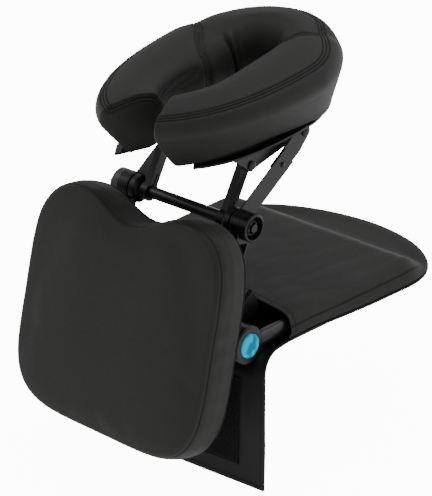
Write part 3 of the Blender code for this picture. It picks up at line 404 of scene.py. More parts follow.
# A grid of rings that wrap round; its first and last rings shrink to one point each.
def closedGrid(name, grid, material):
    rows, columns = grid.shape[:2]
    points = np.concatenate([grid[1:-1].reshape(-1, 3), [grid[0].mean(0)], [grid[-1].mean(0)]])
    quads = ringFaces(rows - 2, columns, True)
    j = np.arange(columns)
    k = (j + 1) % columns
    inner, last = (rows - 2) * columns, (rows - 3) * columns
    first = np.stack([np.full(columns, inner), k, j], -1)
    end = np.stack([np.full(columns, inner + 1), last + j, last + k], -1)
    return meshFrom(name, points, quads, np.concatenate([first, end]), material)


# Two grids of the same size joined round their rims, so that a sheet has a real thickness.
def slab(name, top, below, material):
    rows, columns = top.shape[:2]
    count = rows * columns
    upper = ringFaces(rows, columns, False)
    index = np.arange(count).reshape(rows, columns)
    rim = np.concatenate([index[0, :-1], index[:-1, -1], index[-1, :0:-1], index[:0:-1, 0]])
    after = np.roll(rim, -1)
    walls = np.stack([rim, rim + count, after + count, after], -1)
    quads = np.concatenate([upper, upper[:, ::-1] + count, walls])
    return meshFrom(name, np.concatenate([top.reshape(-1, 3), below.reshape(-1, 3)]), quads, [], material)


# Puts one number a point on a piece.
def paint(made, layer, values):
    attribute = made.data.attributes.new(layer, "FLOAT", "POINT")
    attribute.data.foreach_set("value", np.asarray(values, np.float32))


# A piece rides on its body and stands for its CAD nodes.
def finishPiece(made, body, slot, *nodes):
    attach(made, body)
    if nodes:
        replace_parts(made, *nodes)
    return made


# 0 below low, 1 above high, and 3t^2 - 2t^3 in between.
def smoothStep(value, low=0.0, high=1.0):
    value = np.clip((value - low) / (high - low), 0.0, 1.0)
    return value * value * (3.0 - 2.0 * value)


# Catmull-Rom weights of four neighbours at a share t between the middle two.
def cubicWeights(t):
    return np.stack([
        -0.5 * t + t * t - 0.5 * t**3,
        1.0 - 2.5 * t * t + 1.5 * t**3,
        0.5 * t + 2.0 * t * t - 1.5 * t**3,
        -0.5 * t * t + 0.5 * t**3,
    ], -1)


# Values along axis 0 read at fractional places, by cubic weights.
def sampleLine(values, at, wrap):
    count = len(values)
    base = np.floor(at).astype(int)
    weights = cubicWeights(at - base)
    index = base[:, None] + np.arange(-1, 3)
    index = index % count if wrap else np.clip(index, 0, count - 1)
    return np.einsum("nk,nk...->n...", weights, values[index])


# A grid read at fractional rows and wrapped fractional columns.
def sampleGrid(values, rowsAt, columnsAt):
    rows = sampleLine(values, rowsAt, False)
    return sampleLine(rows.swapaxes(0, 1), columnsAt, True).swapaxes(0, 1)


# Unit normals from the cross product of the differences along rows and wrapped columns.
def gridNormals(grid):
    along = np.gradient(grid, axis=0)
    across = np.roll(grid, -1, 1) - np.roll(grid, 1, 1)
    normal = np.cross(along, across)
    normal /= np.maximum(np.linalg.norm(normal, axis=-1, keepdims=True), 1e-12)
    outward = np.sum(normal * (grid - grid.mean(1, keepdims=True)), axis=-1).mean()
    return normal if outward > 0 else -normal


# Index of the nearest of some targets to every point, in blocks that fit in memory.
def nearest(points, targets):
    found = np.empty(len(points), int)
    size = max(1, 6000000 // len(targets))
    for start in range(0, len(points), size):
        block = points[start:start + size]
        found[start:start + size] = ((block[:, None] - targets[None]) ** 2).sum(-1).argmin(1)
    return found


# Distance of every point to the nearest sample of a line.
def distanceTo(points, line):
    flat = points.reshape(-1, 3)
    return np.linalg.norm(flat - line[nearest(flat, line)], axis=1).reshape(points.shape[:-1])


# A line sampled again at an even spacing.
def evenly(line, spacing):
    steps = np.linalg.norm(np.diff(line, axis=0), axis=1)
    length = np.concatenate([[0.0], np.cumsum(steps)])
    at = np.linspace(0.0, length[-1], max(2, int(length[-1] / spacing) + 1))
    return np.stack([np.interp(at, length, line[:, k]) for k in range(3)], -1)


thread = {"pitch": 0.0040, "length": 0.0031, "radius": 0.00042, "sides": 6}


# Stitches along lines: each is a small ellipsoid, half sine profile along it and round across.
def stitchRow(name, lines, body, slot):
    starts, heads = [], []
    for line in lines:
        even = evenly(line, thread["pitch"])
        starts.append((even[1:] + even[:-1]) / 2)
        heads.append(np.diff(even, axis=0))
    middle, head = np.concatenate(starts), np.concatenate(heads)
    head /= np.linalg.norm(head, axis=1, keepdims=True)
    side = np.cross(head, (0.31, 0.22, 0.92))
    side /= np.linalg.norm(side, axis=1, keepdims=True)
    up = np.cross(side, head)
    turn = np.linspace(0.0, 2.0 * math.pi, thread["sides"], endpoint=False)
    shares = np.array([-0.5, -0.36, 0.0, 0.36, 0.5])
    sizes = thread["radius"] * np.array([0.25, 0.85, 1.0, 0.85, 0.25])
    ring = np.cos(turn)[None, :, None, None] * side + np.sin(turn)[None, :, None, None] * up
    stitch = middle + shares[:, None, None, None] * thread["length"] * head + sizes[:, None, None, None] * ring
    rows, sides, count = stitch.shape[:3]
    quads = ringFaces(rows, sides, True)
    ends = np.array([[0, 1, 2, 3], [0, 3, 4, 5]])
    tail = (rows - 1) * sides
    quads = np.concatenate([quads, ends[:, ::-1], ends + tail])
    points = stitch.transpose(2, 0, 1, 3).reshape(-1, 3)
    offsets = np.arange(count)[:, None, None] * rows * sides
    made = meshFrom(name, points, (quads[None] + offsets).reshape(-1, 4), [], finishes["thread"])
    return finishPiece(made, body, slot)


# Cloth under pressure on a coarse closed grid; gives each point's capped movement.
def inflate(grid, pressure, cap):
    shell = closedGrid("clothForm", grid, finishes["pad"])
    cloth = shell.modifiers.new("cloth", "CLOTH")
    cloth.settings.quality = 6
    cloth.settings.mass = 0.25
    cloth.settings.tension_stiffness = 18.0
    cloth.settings.compression_stiffness = 18.0
    cloth.settings.bending_stiffness = 2.5
    cloth.settings.use_pressure = True
    cloth.settings.uniform_pressure_force = pressure
    cloth.settings.effector_weights.gravity = 0.0
    scene = bpy.context.scene
    for step in range(1, 21):
        scene.frame_set(step)
    solved = shell.evaluated_get(bpy.context.evaluated_depsgraph_get()).to_mesh()
    moved = np.empty(len(solved.vertices) * 3)
    solved.vertices.foreach_get("co", moved)
    moved = moved.reshape(-1, 3)
    scene.frame_set(1)
    bpy.data.objects.remove(shell, do_unlink=True)
    rows, columns = grid.shape[:2]
    change = np.zeros(grid.shape)
    change[1:-1] = moved[:-2].reshape(rows - 2, columns, 3) - grid[1:-1]
    change[0], change[-1] = moved[-2] - grid[0].mean(0), moved[-1] - grid[-1].mean(0)
    size = np.linalg.norm(change, axis=-1, keepdims=True)
    print("  cloth moved", round(float(size.mean()) * 1000, 2), "mm on average")
    return change * np.minimum(1.0, cap / np.maximum(size, 1e-9))


deskEdge = float(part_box("base_sheet")[0].y)
cushion = {
    "tilt": math.radians(5.0),
    "behind": 0.167,
    "height": 0.250,
    "halfWidth": 0.1295,
    "front": 0.2430,
    "back": 0.1245,
    "taper": -0.16,
    "band": 0.047,
    "innerSide": 0.0545,
    "innerBack": 0.0335,
    "foam": 0.0835,
    "tip": math.radians(20.0),
    "nose": 0.0115,
    "nosePower": 2.7,
    "lean": 0.011,
    "swell": 0.0035,
    "roll": 0.035,
    "fuller": 0.030,
    "backRise": 0.092,
    "tipInner": 0.007,
    "noseShare": 0.09,  # of the length, at each tip
    "knots": 16,  # control points round the section
    "seamKnot": 8,
    "leftSeam": ((8, 9, 10, 12, 14, 15), (166, 170, 183, 193, 198, 194)),  # knots, degrees
    "rightSeam": ((8, 10, 12, 13, 15), (47, 46, 44, 50, 58)),
    "stitchRow": 0.0046,  # either side of a seam
    "valley": ((0.0016, 0.0075), (0.0013, 0.0012)),  # depth and width: the dip, then the cut
    "rowDent": (0.0007, 0.0011),
    "folds": ((166.0, 17.0, 0.0034), (60.0, 16.0, 0.0016)),  # degrees, spread, depth
    "foldPitch": 19.0,
}


# From the cushion's tilted plane to the frame: along the plane, and off its underside.
def cushionToWorld(x, y, h):
    c, s = math.cos(cushion["tilt"]), math.sin(cushion["tilt"])
    h = h + cushion["roll"] * x
    return np.stack([x, deskEdge + cushion["behind"] + y * c - h * s, cushion["height"] + y * s + h * c], -1)


# An ellipse with a shorter back half, its width tapered by the sine; offset runs outwards.
def horseshoe(angle, offset):
    sine, cosine = np.sin(angle), np.cos(angle)
    reach = np.where(sine > 0, cushion["back"], cushion["front"]) - cushion["band"]
    width = (cushion["halfWidth"] - cushion["band"] + offset) * (1.0 + cushion["taper"] * sine)
    return cosine * width, sine * (reach + offset)


# Control points of the band's section at each angle, as (offset, height), round from the inner
# foot.
def sectionAt(angle):
    outer, side = cushion["band"], np.cos(angle)
    behind = np.exp(-((angle - math.radians(125.0)) / math.radians(50.0)) ** 2)
    top = cushion["foam"] * (1.0 + cushion["fuller"] * side + cushion["backRise"] * behind)
    spread = cushion["innerSide"] - cushion["innerBack"]
    tipped = cushion["tipInner"] * smoothStep(-np.sin(angle), 0.6, 0.95)
    inner = -(cushion["innerBack"] + spread * side**2 + tipped)
    lean = 0.040 - 0.018 * smoothStep(np.sin(angle), -0.45, 0.35)
    soft = (1.0 - side) / 2
    seam, seamShare = 0.0125 + 0.0030 * side, 0.952 + 0.016 * side
    seam = seam + 0.010 * np.exp(-((angle - math.radians(48.0)) / 0.45) ** 2)
    crown = (outer - seam + inner) / 2
    one = np.ones_like(angle)
    offsets = [inner + 0.017, 0.0 * one, outer - lean, outer - 0.77 * lean, outer - 0.50 * lean,
               outer - 0.23 * lean, (outer - 0.001) * one, outer - 0.35 * seam,
               outer - seam, outer - seam - 0.014,
               crown, inner + 0.019 + 0.013 * soft, inner + 0.0075 + 0.009 * soft, inner + 0.001 + 0.003 * soft,
               inner, inner + 0.006]
    shares = [0.012, 0.006, 0.004, 0.13, 0.31, 0.50, 0.68,
              0.62 + 0.25 * seamShare, seamShare, 0.5 + 0.5 * seamShare,
              1.005, 1.0 - 0.015 * soft, 0.955 - 0.035 * soft, 0.80 - 0.06 * soft, 0.48, 0.18]
    heights = np.stack([share * one for share in shares], -1) * top[:, None]
    return np.stack(offsets, -1), heights


# A closed band: u runs from tip to tip with rounded noses, v round the section (control points by
# cubic).
def cushionSurface(u, v):
    nose = cushion["noseShare"]
    before = np.clip((nose - u) / nose, 0.0, 1.0)
    after = np.clip((u - 1.0 + nose) / nose, 0.0, 1.0)
    past = (before + after) * math.pi / 2
    forward = np.sin(past) ** (2.0 / cushion["nosePower"]) * cushion["nose"]
    scale = np.cos(past).clip(0.0) ** (2.0 / cushion["nosePower"])
    first, last = -math.pi / 2 + cushion["tip"], 3.0 * math.pi / 2 - cushion["tip"]
    angle = first + (last - first) * np.clip((u - nose) / (1.0 - 2.0 * nose), 0.0, 1.0)
    offsets, heights = sectionAt(angle)
    count = offsets.shape[1]
    offsets = sampleLine(offsets.T, v * count, True).T
    heights = sampleLine(heights.T, v * count, True).T
    middle = (offsets.min(1) + offsets.max(1))[:, None] / 2
    centre = cushion["foam"] * 0.42
    offsets = middle + (offsets - middle) * scale[:, None]
    heights = centre + (heights - centre) * scale[:, None]
    low = (1.0 - heights / cushion["foam"]).clip(0.0, 1.1) ** 1.15
    near = smoothStep(np.abs(angle - math.pi / 2), math.radians(108.0), math.radians(160.0))[:, None]
    side = np.where(u < 0.5, 1.0, -1.0)[:, None]
    ahead = forward[:, None] - cushion["lean"] * low * near
    x, y = horseshoe(angle[:, None], offsets)
    step = 0.01
    xb, yb = horseshoe(angle[:, None] + step * side, middle)
    xa, ya = horseshoe(angle[:, None], middle)
    length = np.hypot(xa - xb, ya - yb)
    x, y = x + (xa - xb) / length * ahead, y + (ya - yb) / length * ahead
    pinch = 0.0022 * np.exp(-((angle - math.radians(166.0)) / 0.16) ** 2)
    pinch = pinch + 0.0030 * np.exp(-((angle - math.radians(52.0)) / 0.13) ** 2)
    heights = heights - pinch[:, None] * smoothStep(heights, 0.03, 0.08) * smoothStep(offsets, -0.02, 0.03)
    return cushionToWorld(x, y, heights)


# The place along the cushion of a horseshoe angle.
def uAt(degrees):
    nose, tip = cushion["noseShare"], cushion["tip"]
    turned = (np.radians(degrees) - tip + math.pi / 2) / (2.0 * math.pi - 2.0 * tip)
    return nose + (1.0 - 2.0 * nose) * turned


# Rising values with a fine spacing inside the given spans and a coarse one elsewhere.
def denser(stops, fine, coarse, low=0.0, high=1.0):
    at, values = low, []
    while at < high:
        values.append(at)
        at += fine if any(a <= at <= b for a, b in stops) else coarse
    return np.array(values)


# Places on a finished grid, by straight interpolation between its four nearest points.
def onSkin(skin, u, v, us, vs):
    i = np.interp(us, u, np.arange(len(u)))
    j = np.interp(vs, np.append(v, 1.0), np.arange(len(v) + 1))
    row, column = np.minimum(i.astype(int), len(u) - 2), np.floor(j).astype(int)
    s, t = (i - row)[:, None], (j - column)[:, None]
    column, after = column % len(v), (column + 1) % len(v)
    low = skin[row, column] * (1 - t) + skin[row, after] * t
    high = skin[row + 1, column] * (1 - t) + skin[row + 1, after] * t
    return low * (1 - s) + high * s


# A bell: 1 at 0, falling with the square of the distance over its width.
def bell(distance, width):
    return np.exp(-((distance / width) ** 2))


# The face cushion: cloth-inflated foam under stretched vinyl, with its seams sewn in afterwards.
def buildCushion():
    seamV = cushion["seamKnot"] / cushion["knots"]
    tight = [(float(uAt(150)), float(uAt(204))), (float(uAt(42)), float(uAt(68))), (0.0, 0.10), (0.90, 1.0)]
    u = np.append(denser(tight, 0.0022, 0.0055), 1.0)
    v = denser([(seamV - 0.028125, seamV + 0.028125)], 0.0022, 0.0105, 0.0, 0.999)
    skin = cushionSurface(u, v)
    rows, columns = 84, 48
    coarse = cushionSurface(np.linspace(0.0, 1.0, rows), np.arange(columns) / columns)
    change = inflate(coarse, 4.0, cushion["swell"])
    skin = skin + sampleGrid(change, u * (rows - 1), v * columns)
    normals = gridNormals(skin)
    seams = cushionSeams(skin, u, v)

    closest = distanceTo(skin, np.concatenate(seams))
    row = closest - cushion["stitchRow"]
    dent, dentWidth = cushion["rowDent"]
    valley = sum(depth * bell(closest, width) for depth, width in cushion["valley"])
    valley = valley + dent * bell(row, dentWidth)
    tip, nose, knots = math.degrees(cushion["tip"]), cushion["noseShare"], cushion["knots"]
    angle = np.interp(u, [nose, 1.0 - nose], [tip - 90.0, 270.0 - tip])
    inside = smoothStep(v, 11.4 / knots, 12.6 / knots) * (1.0 - smoothStep(v, 15.0 / knots, 15.9 / knots))
    waves = np.cos(np.radians(angle) * cushion["foldPitch"])
    folds = sum(depth * bell(angle - at, spread) for at, spread, depth in cushion["folds"]) * waves
    skin = skin - normals * (valley + folds[:, None] * inside[None, :])[..., None]
    made = closedGrid("faceCushion", skin, finishes["pad"])
    # painted shade: the seam grooves and stitch rows are marked for a darker colour
    creaseShade = np.clip(bell(closest, 0.0011) + 0.75 * bell(row, 0.0009), 0.0, 1.0)
    paint(made, "creaseShade", np.concatenate([creaseShade[1:-1].ravel(), [0.0, 0.0]]))
    finishPiece(made, "cushion", "cushion_vinyl", "face_cushion")

    flat, facing = skin[1:-1].reshape(-1, 3), normals[1:-1].reshape(-1, 3)
    rows = []
    for line in seams:
        head = np.gradient(line, axis=0)
        head /= np.maximum(np.linalg.norm(head, axis=1, keepdims=True), 1e-9)
        side = np.cross(head, facing[nearest(line, flat)])
        for way in (-1.0, 1.0):
            rows.append(settle(line + side * way * cushion["stitchRow"], flat, facing))
    stitchRow("cushionStitches", rows, "cushion", "cushion_vinyl")


# The run round the outer edge with a turn inwards over each tip, then the two radial seams.
def cushionSeams(skin, u, v):
    knots, seamKnot = cushion["knots"], cushion["seamKnot"]
    start, end, turnKnot = 0.058, 0.942, 12.7
    edge = np.linspace(start, end, 420)
    down = np.linspace(seamKnot, turnKnot, 36)
    around = np.linspace(turnKnot, turnKnot + 0.3, 30)
    tipV = np.concatenate([down, around]) / knots
    inward = np.concatenate([0.0 * down, smoothStep(np.linspace(0.0, 1.0, 30)) * 0.15])
    radial = np.linspace(seamKnot, 15.0, 70)
    places = [
        (start + inward, tipV),
        (edge, np.full(len(edge), seamKnot / knots)),
        (end - inward, tipV),
        (uAt(np.interp(radial, *cushion["leftSeam"])), radial / knots),
        (uAt(np.interp(radial, *cushion["rightSeam"])), radial / knots),
    ]
    rightTip, outer, leftTip, left, right = [
        evenly(onSkin(skin, u, v, us, vs), 0.0008) for us, vs in places
    ]
    return [np.concatenate([rightTip[::-1], outer, leftTip]), left, right]


# Drops a line onto the nearest points' tangent planes, a little proud of them.
def settle(line, points, normals, lift=0.0002):
    near = nearest(line, points)
    gap = np.sum((line - points[near]) * normals[near], axis=1, keepdims=True)
    return line - normals[near] * (gap - lift)


buildCushion()
print("face cushion made")

chest = {
    "pitch": math.radians(13.35),
    "ahead": 0.1051,
    "halfWidth": 0.1570,
    "aside": 0.0010,
    "top": 0.1985,
    "bottom": -0.1085,
    "power": 4.4,
    "notch": 0.0300,
    "notchWidth": 0.0600,
    "back": 0.0555,
    "skew": 0.060,
    "crown": 0.0040,
    "swell": 0.0030,
    "seam": 0.600,  # places along the surface, front centre 0 to back centre 1
    "rearSeam": 0.845,
}


# From the pad's pitched plane to the frame: across, up its face, depth behind its face.
def chestToWorld(x, up, depth):
    c, s = math.cos(chest["pitch"]), math.sin(chest["pitch"])
    return np.stack([x, deskEdge - chest["ahead"] + up * s + depth * c, up * c - depth * s], -1)


# Front centre (u 0) over the edge and boxing to the back centre (u 1); v goes round a
# superellipse.
def chestSurface(u, v):
    stops = [0.0, 0.42, 0.50, 0.55, 0.60, 0.80, 0.84, 0.87, 0.90, 0.93, 1.0]
    reach = np.interp(u, stops, [0.0, 0.900, 0.960, 0.986, 1.0, 1.0, 0.992, 0.972, 0.948, 0.943, 0.0])
    inset = np.interp(u, [0.56, 0.60, 0.63, 0.70, 0.77, 0.80], [0.0004, 0.0, -0.0010, -0.0020, -0.0010, 0.0])
    share = np.interp(u, stops, [0.0, 0.0, 0.020, 0.062, 0.140, 0.925, 0.985, 1.0, 1.0, 0.892, 0.892])
    crown = chest["crown"] * (1.0 - smoothStep(reach, 0.25, 0.99)) * (u < 0.58)
    depth = chest["back"] * share - crown
    turn = 2.0 * math.pi * v
    c, s = np.cos(turn), np.sin(turn)
    size = (np.abs(c) ** chest["power"] + np.abs(s) ** chest["power"]) ** (-1.0 / chest["power"])
    middle, height = (chest["top"] + chest["bottom"]) / 2, (chest["top"] - chest["bottom"]) / 2
    x = chest["aside"] + ((chest["halfWidth"] - inset) * reach)[:, None] * (size * c)[None]
    up = ((height - inset) * reach)[:, None] * (size * s)[None]
    dip = chest["notch"] * np.exp(-((x / chest["notchWidth"]) ** 2)) * np.where(s > 0, s * s, 0.0)[None]
    low = smoothStep(-up / height, 0.0, 1.0)
    up = middle + up - dip * (reach[:, None] ** 3) - chest["skew"] * x * low
    return chestToWorld(x, up, depth[:, None] + 0.0 * x)


# The chest pad: a crowned face, a boxing that swells a little, and one seam round the front edge.
def buildChestPad():
    u = np.unique(np.concatenate([
        np.linspace(0.0, 0.46, 26), np.linspace(0.46, 0.58, 20), np.linspace(0.58, 0.62, 26),
        np.linspace(0.62, 0.94, 34), [0.97, 1.0]]))
    v = np.arange(420) / 420.0
    skin = chestSurface(u, v)
    coarseU = np.concatenate([[0.0], np.linspace(0.08, 0.92, 40), [1.0]])
    change = inflate(chestSurface(coarseU, np.arange(72) / 72.0), 3.0, chest["swell"])
    change[coarseU > 0.84] *= 0.0
    skin = skin + sampleGrid(change, np.interp(u, coarseU, np.arange(42.0)), v * 72.0)
    normals = gridNormals(skin)
    near = distanceTo(skin, chestRing(skin, u, chest["seam"]))
    far = distanceTo(skin, chestRing(skin, u, chest["rearSeam"]))
    valley = 0.0009 * bell(near, 0.0050) + 0.0013 * bell(near, 0.0010) + 0.0012 * bell(far, 0.0014)
    turn = 2.0 * math.pi * v
    ripple = 0.00035 * np.sin(turn * 23.0 + 2.0 * np.sin(turn * 5.0)) + 0.0003 * np.sin(turn * 37.0)
    boxing = smoothStep(u, 0.60, 0.66) * (1.0 - smoothStep(u, 0.76, 0.82))
    skin = skin - normals * (valley + boxing[:, None] * ripple[None])[..., None]
    made = closedGrid("chestPad", skin, finishes["pad"])
    # painted shade: the two seam grooves are marked for a darker colour
    creaseShade = np.clip(bell(near, 0.0011) + bell(far, 0.0013), 0.0, 1.0)
    paint(made, "creaseShade", np.concatenate([creaseShade[1:-1].ravel(), [0.0, 0.0]]))
    finishPiece(made, "chest_pad", "cushion_vinyl", "chest_pad")


# One closed ring of the pad's grid at a fractional row, evenly sampled.
def chestRing(skin, u, at):
    i = float(np.interp(at, u, np.arange(len(u))))
    low = int(i)
    ring = skin[low] * (1.0 - i + low) + skin[low + 1] * (i - low)
    return evenly(np.concatenate([ring, ring[:1]]), 0.0008)


buildChestPad()
print("chest pad made")

sheet = {
    "halfWidth": 0.1690,
    "straight": 0.2744,
    "roundEnd": 0.1341,
    "thickness": 0.0024,
    "drop": 0.1730,
    "margin": 0.0015,
    "lift": 0.0325,
    "shoulder": 0.0220,
    "slopeEnd": 0.3620,
    "slope": 0.0760,
    "archSide": 0.0455,
    "archDepth": 0.0375,
    "gap": 0.0003,
    "bend": 0.0240,
    "hem": 0.0095,
    "liftAt": (0.0, 0.05, 0.10, 0.15, 0.20, 0.30, 0.36, 0.405),
    "liftBy": (0.0110, 0.0160, 0.0165, 0.0135, 0.0110, 0.0090, 0.0045, 0.0),
    "seamIn": 0.0085,
}


# A sum of slow sine waves in turned directions: gentle, repeatable unevenness.
def softNoise(x, y, seed, waves, size):
    draw = np.random.default_rng(seed)
    total = np.zeros(np.broadcast(x, y).shape)
    for _ in range(waves):
        way, phase = draw.uniform(0.0, math.pi), draw.uniform(0.0, 2.0 * math.pi)
        pitch = size * draw.uniform(0.6, 1.6)
        total += np.sin((x * math.cos(way) + y * math.sin(way)) * 2.0 * math.pi / pitch + phase)
    return total / math.sqrt(waves)


# Distance inwards from the outline: straight sides, then a half ellipse by its gradient.
def rimDistance(x, far):
    past = np.maximum(far - sheet["straight"], 0.0) / sheet["roundEnd"]
    across = np.abs(x) / sheet["halfWidth"]
    reach = np.maximum(np.hypot(across, past), 1e-6)
    slope = np.hypot(across / sheet["halfWidth"], past / sheet["roundEnd"]) / reach
    return np.maximum(1.0 - reach, 0.0) / np.maximum(slope, 1e-6)


# How far the joined rims stand off the desk, most beside the rails.
def rimLift(x, far):
    lift = np.interp(far, sheet["liftAt"], sheet["liftBy"])
    return lift * smoothStep(0.024 - rimDistance(x, far), 0.0, 0.024)


# The upper sheet's height: flat over the frame, falling to the lifted rims.
def sheetRise(x, far):
    share = np.clip((rimDistance(x, far) - sheet["margin"]) / sheet["shoulder"], 0.0, 1.0)
    rear = smoothStep((sheet["slopeEnd"] - far) / sheet["slope"])
    low = rimLift(x, far)
    return low + np.maximum(sheet["lift"] * rear - low, 0.0) * (1.0 - (1.0 - share) ** 2)


# p across from -1 to 1, q from the arched front edge (0) to the round rear edge (1).
def topSheetAt(p, q):
    reach = np.sqrt(np.clip(1.0 - p * p, 0.0, 1.0))
    start = sheet["archSide"] + sheet["archDepth"] * reach**0.9
    end = sheet["straight"] + (sheet["roundEnd"] - sheet["margin"]) * reach
    far = start + (end - start) * q
    x = p * (sheet["halfWidth"] - sheet["margin"]) + 0.0 * q
    rise = sheetRise(x, far)
    held = smoothStep(rise, 0.004, 0.03)
    sag = 0.0011 * softNoise(x, far, 4, 7, 0.11) + 0.0006 * softNoise(x, far * 0.5, 9, 6, 0.05)
    z = sheet["thickness"] + sheet["gap"] + rise + held * np.abs(sag) * 0.7
    front = (far - start)
    hem = 0.0009 * (1.0 - smoothStep(front, sheet["hem"] - 0.0010, sheet["hem"] + 0.0004))
    rim = rimDistance(x, far)
    hem = hem - 0.0007 * np.exp(-(((rim - sheet["seamIn"]) / 0.0009) ** 2)) * smoothStep(0.32 - far, 0.0, 0.08)
    groove = 0.0005 * np.exp(-(((front - sheet["hem"] + 0.0018) / 0.0006) ** 2))
    return x, deskEdge + far, z, hem - groove, front


# The upper sheet as a slab of the surface above, with a turned hem round its arch.
def buildTopSheet():
    p = np.linspace(-1.0, 1.0, 181)
    p = np.sign(p) * (1.0 - (1.0 - np.abs(p)) ** 1.7)
    q = np.concatenate([np.linspace(0.0, 0.045, 22)[:-1], np.linspace(0.045, 1.0, 110)])
    x, y, z, relief, front = topSheetAt(p[:, None], q[None])
    below = np.stack([x, y, z], -1)
    top = np.stack([x, y, z + sheet["thickness"] + relief], -1)
    made = slab("topSheet", top, below, finishes["sheet"])
    # painted shade: the hem fold and the side seam are marked for a darker colour
    creaseShade = np.exp(-(((front - sheet["hem"] + 0.0018) / 0.0007) ** 2))
    creaseShade = np.maximum(creaseShade, np.exp(-(((front - sheet["hem"]) / 0.0007) ** 2)))
    side = np.exp(-(((rimDistance(x, y - deskEdge) - sheet["seamIn"]) / 0.0010) ** 2))
    creaseShade = np.maximum(creaseShade, side * smoothStep(0.36 - (y - deskEdge), 0.0, 0.08))
    paint(made, "creaseShade", np.concatenate([creaseShade.ravel(), 0.0 * creaseShade.ravel()]))
    finishPiece(made, "base", "sheet_vinyl", "top_sheet")
    line = np.linspace(-0.985, 0.985, 300)
    reach = np.sqrt(1.0 - line * line)
    depth = sheet["straight"] + (sheet["roundEnd"] - sheet["margin"]) * reach
    depth = depth - sheet["archSide"] - sheet["archDepth"] * reach**0.9
    sx, sy, sz, _, _ = topSheetAt(line, (sheet["hem"] - 0.0018) / depth)
    line = np.stack([sx, sy, sz + sheet["thickness"] + 0.0003], -1)
    stitches = stitchRow("archStitches", [line], "base", "sheet_vinyl")


# The lower sheet: q runs from the round rear edge, over the desk's edge, down to the flap's foot.
def lowerSheetAt(p, q):
    half, radius = sheet["halfWidth"], sheet["bend"]
    flatEnd, arc = radius, radius * math.pi / 2
    total = sheet["straight"] - flatEnd + arc + sheet["drop"] - radius
    reach = sheet["roundEnd"] * np.sqrt(np.clip(1.0 - p * p, 0.0, 1.0))
    along = -reach + (total + reach) * q
    flat = np.clip(along, None, sheet["straight"] - flatEnd)
    turned = np.clip(along - (sheet["straight"] - flatEnd), 0.0, arc) / radius
    hang = np.clip(along - (sheet["straight"] - flatEnd) - arc, 0.0, None)
    far = sheet["straight"] - flat - radius * np.sin(turned)
    drop = radius * (1.0 - np.cos(turned)) + hang
    wave = 0.0012 * softNoise(p * half, hang, 21, 5, 0.16) * smoothStep(hang, 0.0, 0.06)
    wave = wave - 0.0045 * smoothStep(hang, 0.06, 0.16) * (np.abs(p) ** 2)
    x = p * half + 0.0 * q
    return x, far, drop, turned, np.abs(wave) * -1.0, along, total


# The lower sheet and its hanging flap in one piece, bent round the desk's edge.
def buildLowerSheet(panel):
    p = np.linspace(-1.0, 1.0, 121)
    p = np.sign(p) * (1.0 - (1.0 - np.abs(p)) ** 1.4)
    q = np.linspace(0.0, 1.0, 190)
    x, far, drop, turned, wave, along, total = lowerSheetAt(p[:, None], q[None])
    side = sheet["halfWidth"] - np.abs(x)
    foot = total - along
    rim = np.minimum(side, foot) + 10.0 * (turned <= 0.0)
    hem = 0.0006 * (1.0 - smoothStep(rim, 0.0062, 0.0070)) - 0.0005 * np.exp(-(((rim - 0.0052) / 0.0006) ** 2))
    thick = sheet["thickness"]
    out = np.stack([0.0 * turned, -np.sin(turned), np.cos(turned)], -1)
    below = np.stack([x, deskEdge + far - sheet["gap"] * np.sin(turned), -drop], -1)
    below[..., 1] += wave * np.sin(turned) * 0.35
    below[..., 2] += rimLift(x, far) * (1.0 - smoothStep(drop, 0.0, 0.055))
    top = below + out * (thick + hem)[..., None]
    # the lower sheet takes the lining colour, darkened as painted shade
    made = slab("lowerSheet", top, below, finishes["shadedLining"])
    # painted shade: the hem seam is marked for a darker colour
    creaseShade = np.exp(-(((rim - 0.0052) / 0.0007) ** 2))
    paint(made, "creaseShade", np.concatenate([creaseShade.ravel(), 0.0 * creaseShade.ravel()]))
    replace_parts(made, "base_sheet", "front_flap")
    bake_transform(made)
    flat = (2.0 * sheet["halfWidth"], total + sheet["roundEnd"])
    0.93 * flat[0] * flat[1]


# The ribbed loop panel: ribs are a raised cosine down its height, with a sewn border.
def buildLoopPanel():
    low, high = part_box("flap_loop_panel")
    x = np.linspace(low.x, high.x, 90)[:, None]
    z = np.linspace(low.z, high.z, 420)[None]
    rim = np.minimum(np.minimum(x - low.x, high.x - x), np.minimum(z - low.z, high.z - z))
    ribs = 0.5 - 0.5 * np.cos(2.0 * math.pi * (z - low.z) / 0.0028)
    raised = 0.0010 * ribs * smoothStep(rim, 0.003, 0.005) + 0.0002 * softNoise(x, z, 31, 6, 0.012)
    wide = x + 0.0 * z
    front = np.stack([wide, low.y + 0.0006 - raised * 0.8, z + 0.0 * x], -1)
    back = np.stack([wide, high.y + 0.0 * raised, z + 0.0 * x], -1)
    made = slab("loopPanel", front, back, finishes["tape"])
    return finishPiece(made, "flap", "hook_and_loop", "flap_loop_panel")


buildTopSheet()
buildLowerSheet(buildLoopPanel())
print("sheets made")

# The platform's slight roll and its uneven tips, growing with height or with the distance forwards.
def unevenly(node, points):
    x, y, z = points.T
    if node.startswith("rail_saddle"):
        x = np.copysign(np.minimum(np.abs(x), platform["saddleEnd"]), x)
    for name, (start, end) in platform["rolled"].items():
        if node.startswith(name):
            z = z + cushion["roll"] * x * np.clip((z - start) / (end - start), 0.0, 1.0)
    if node.startswith(platform["skewed"]):
        right = x > 0.0
        ahead = -platform["tipStart"] - y
        shorter = platform["rightShorter"] * np.clip(ahead / 0.08, 0.0, 1.0)
        longer = platform["leftLonger"] * np.clip(ahead / 0.06, 0.0, 1.0)
        y = y + np.where(right, shorter, -longer)
        x = np.where(right, x * platform["rightNarrower"], x)
    return np.stack([x, y, z], -1)


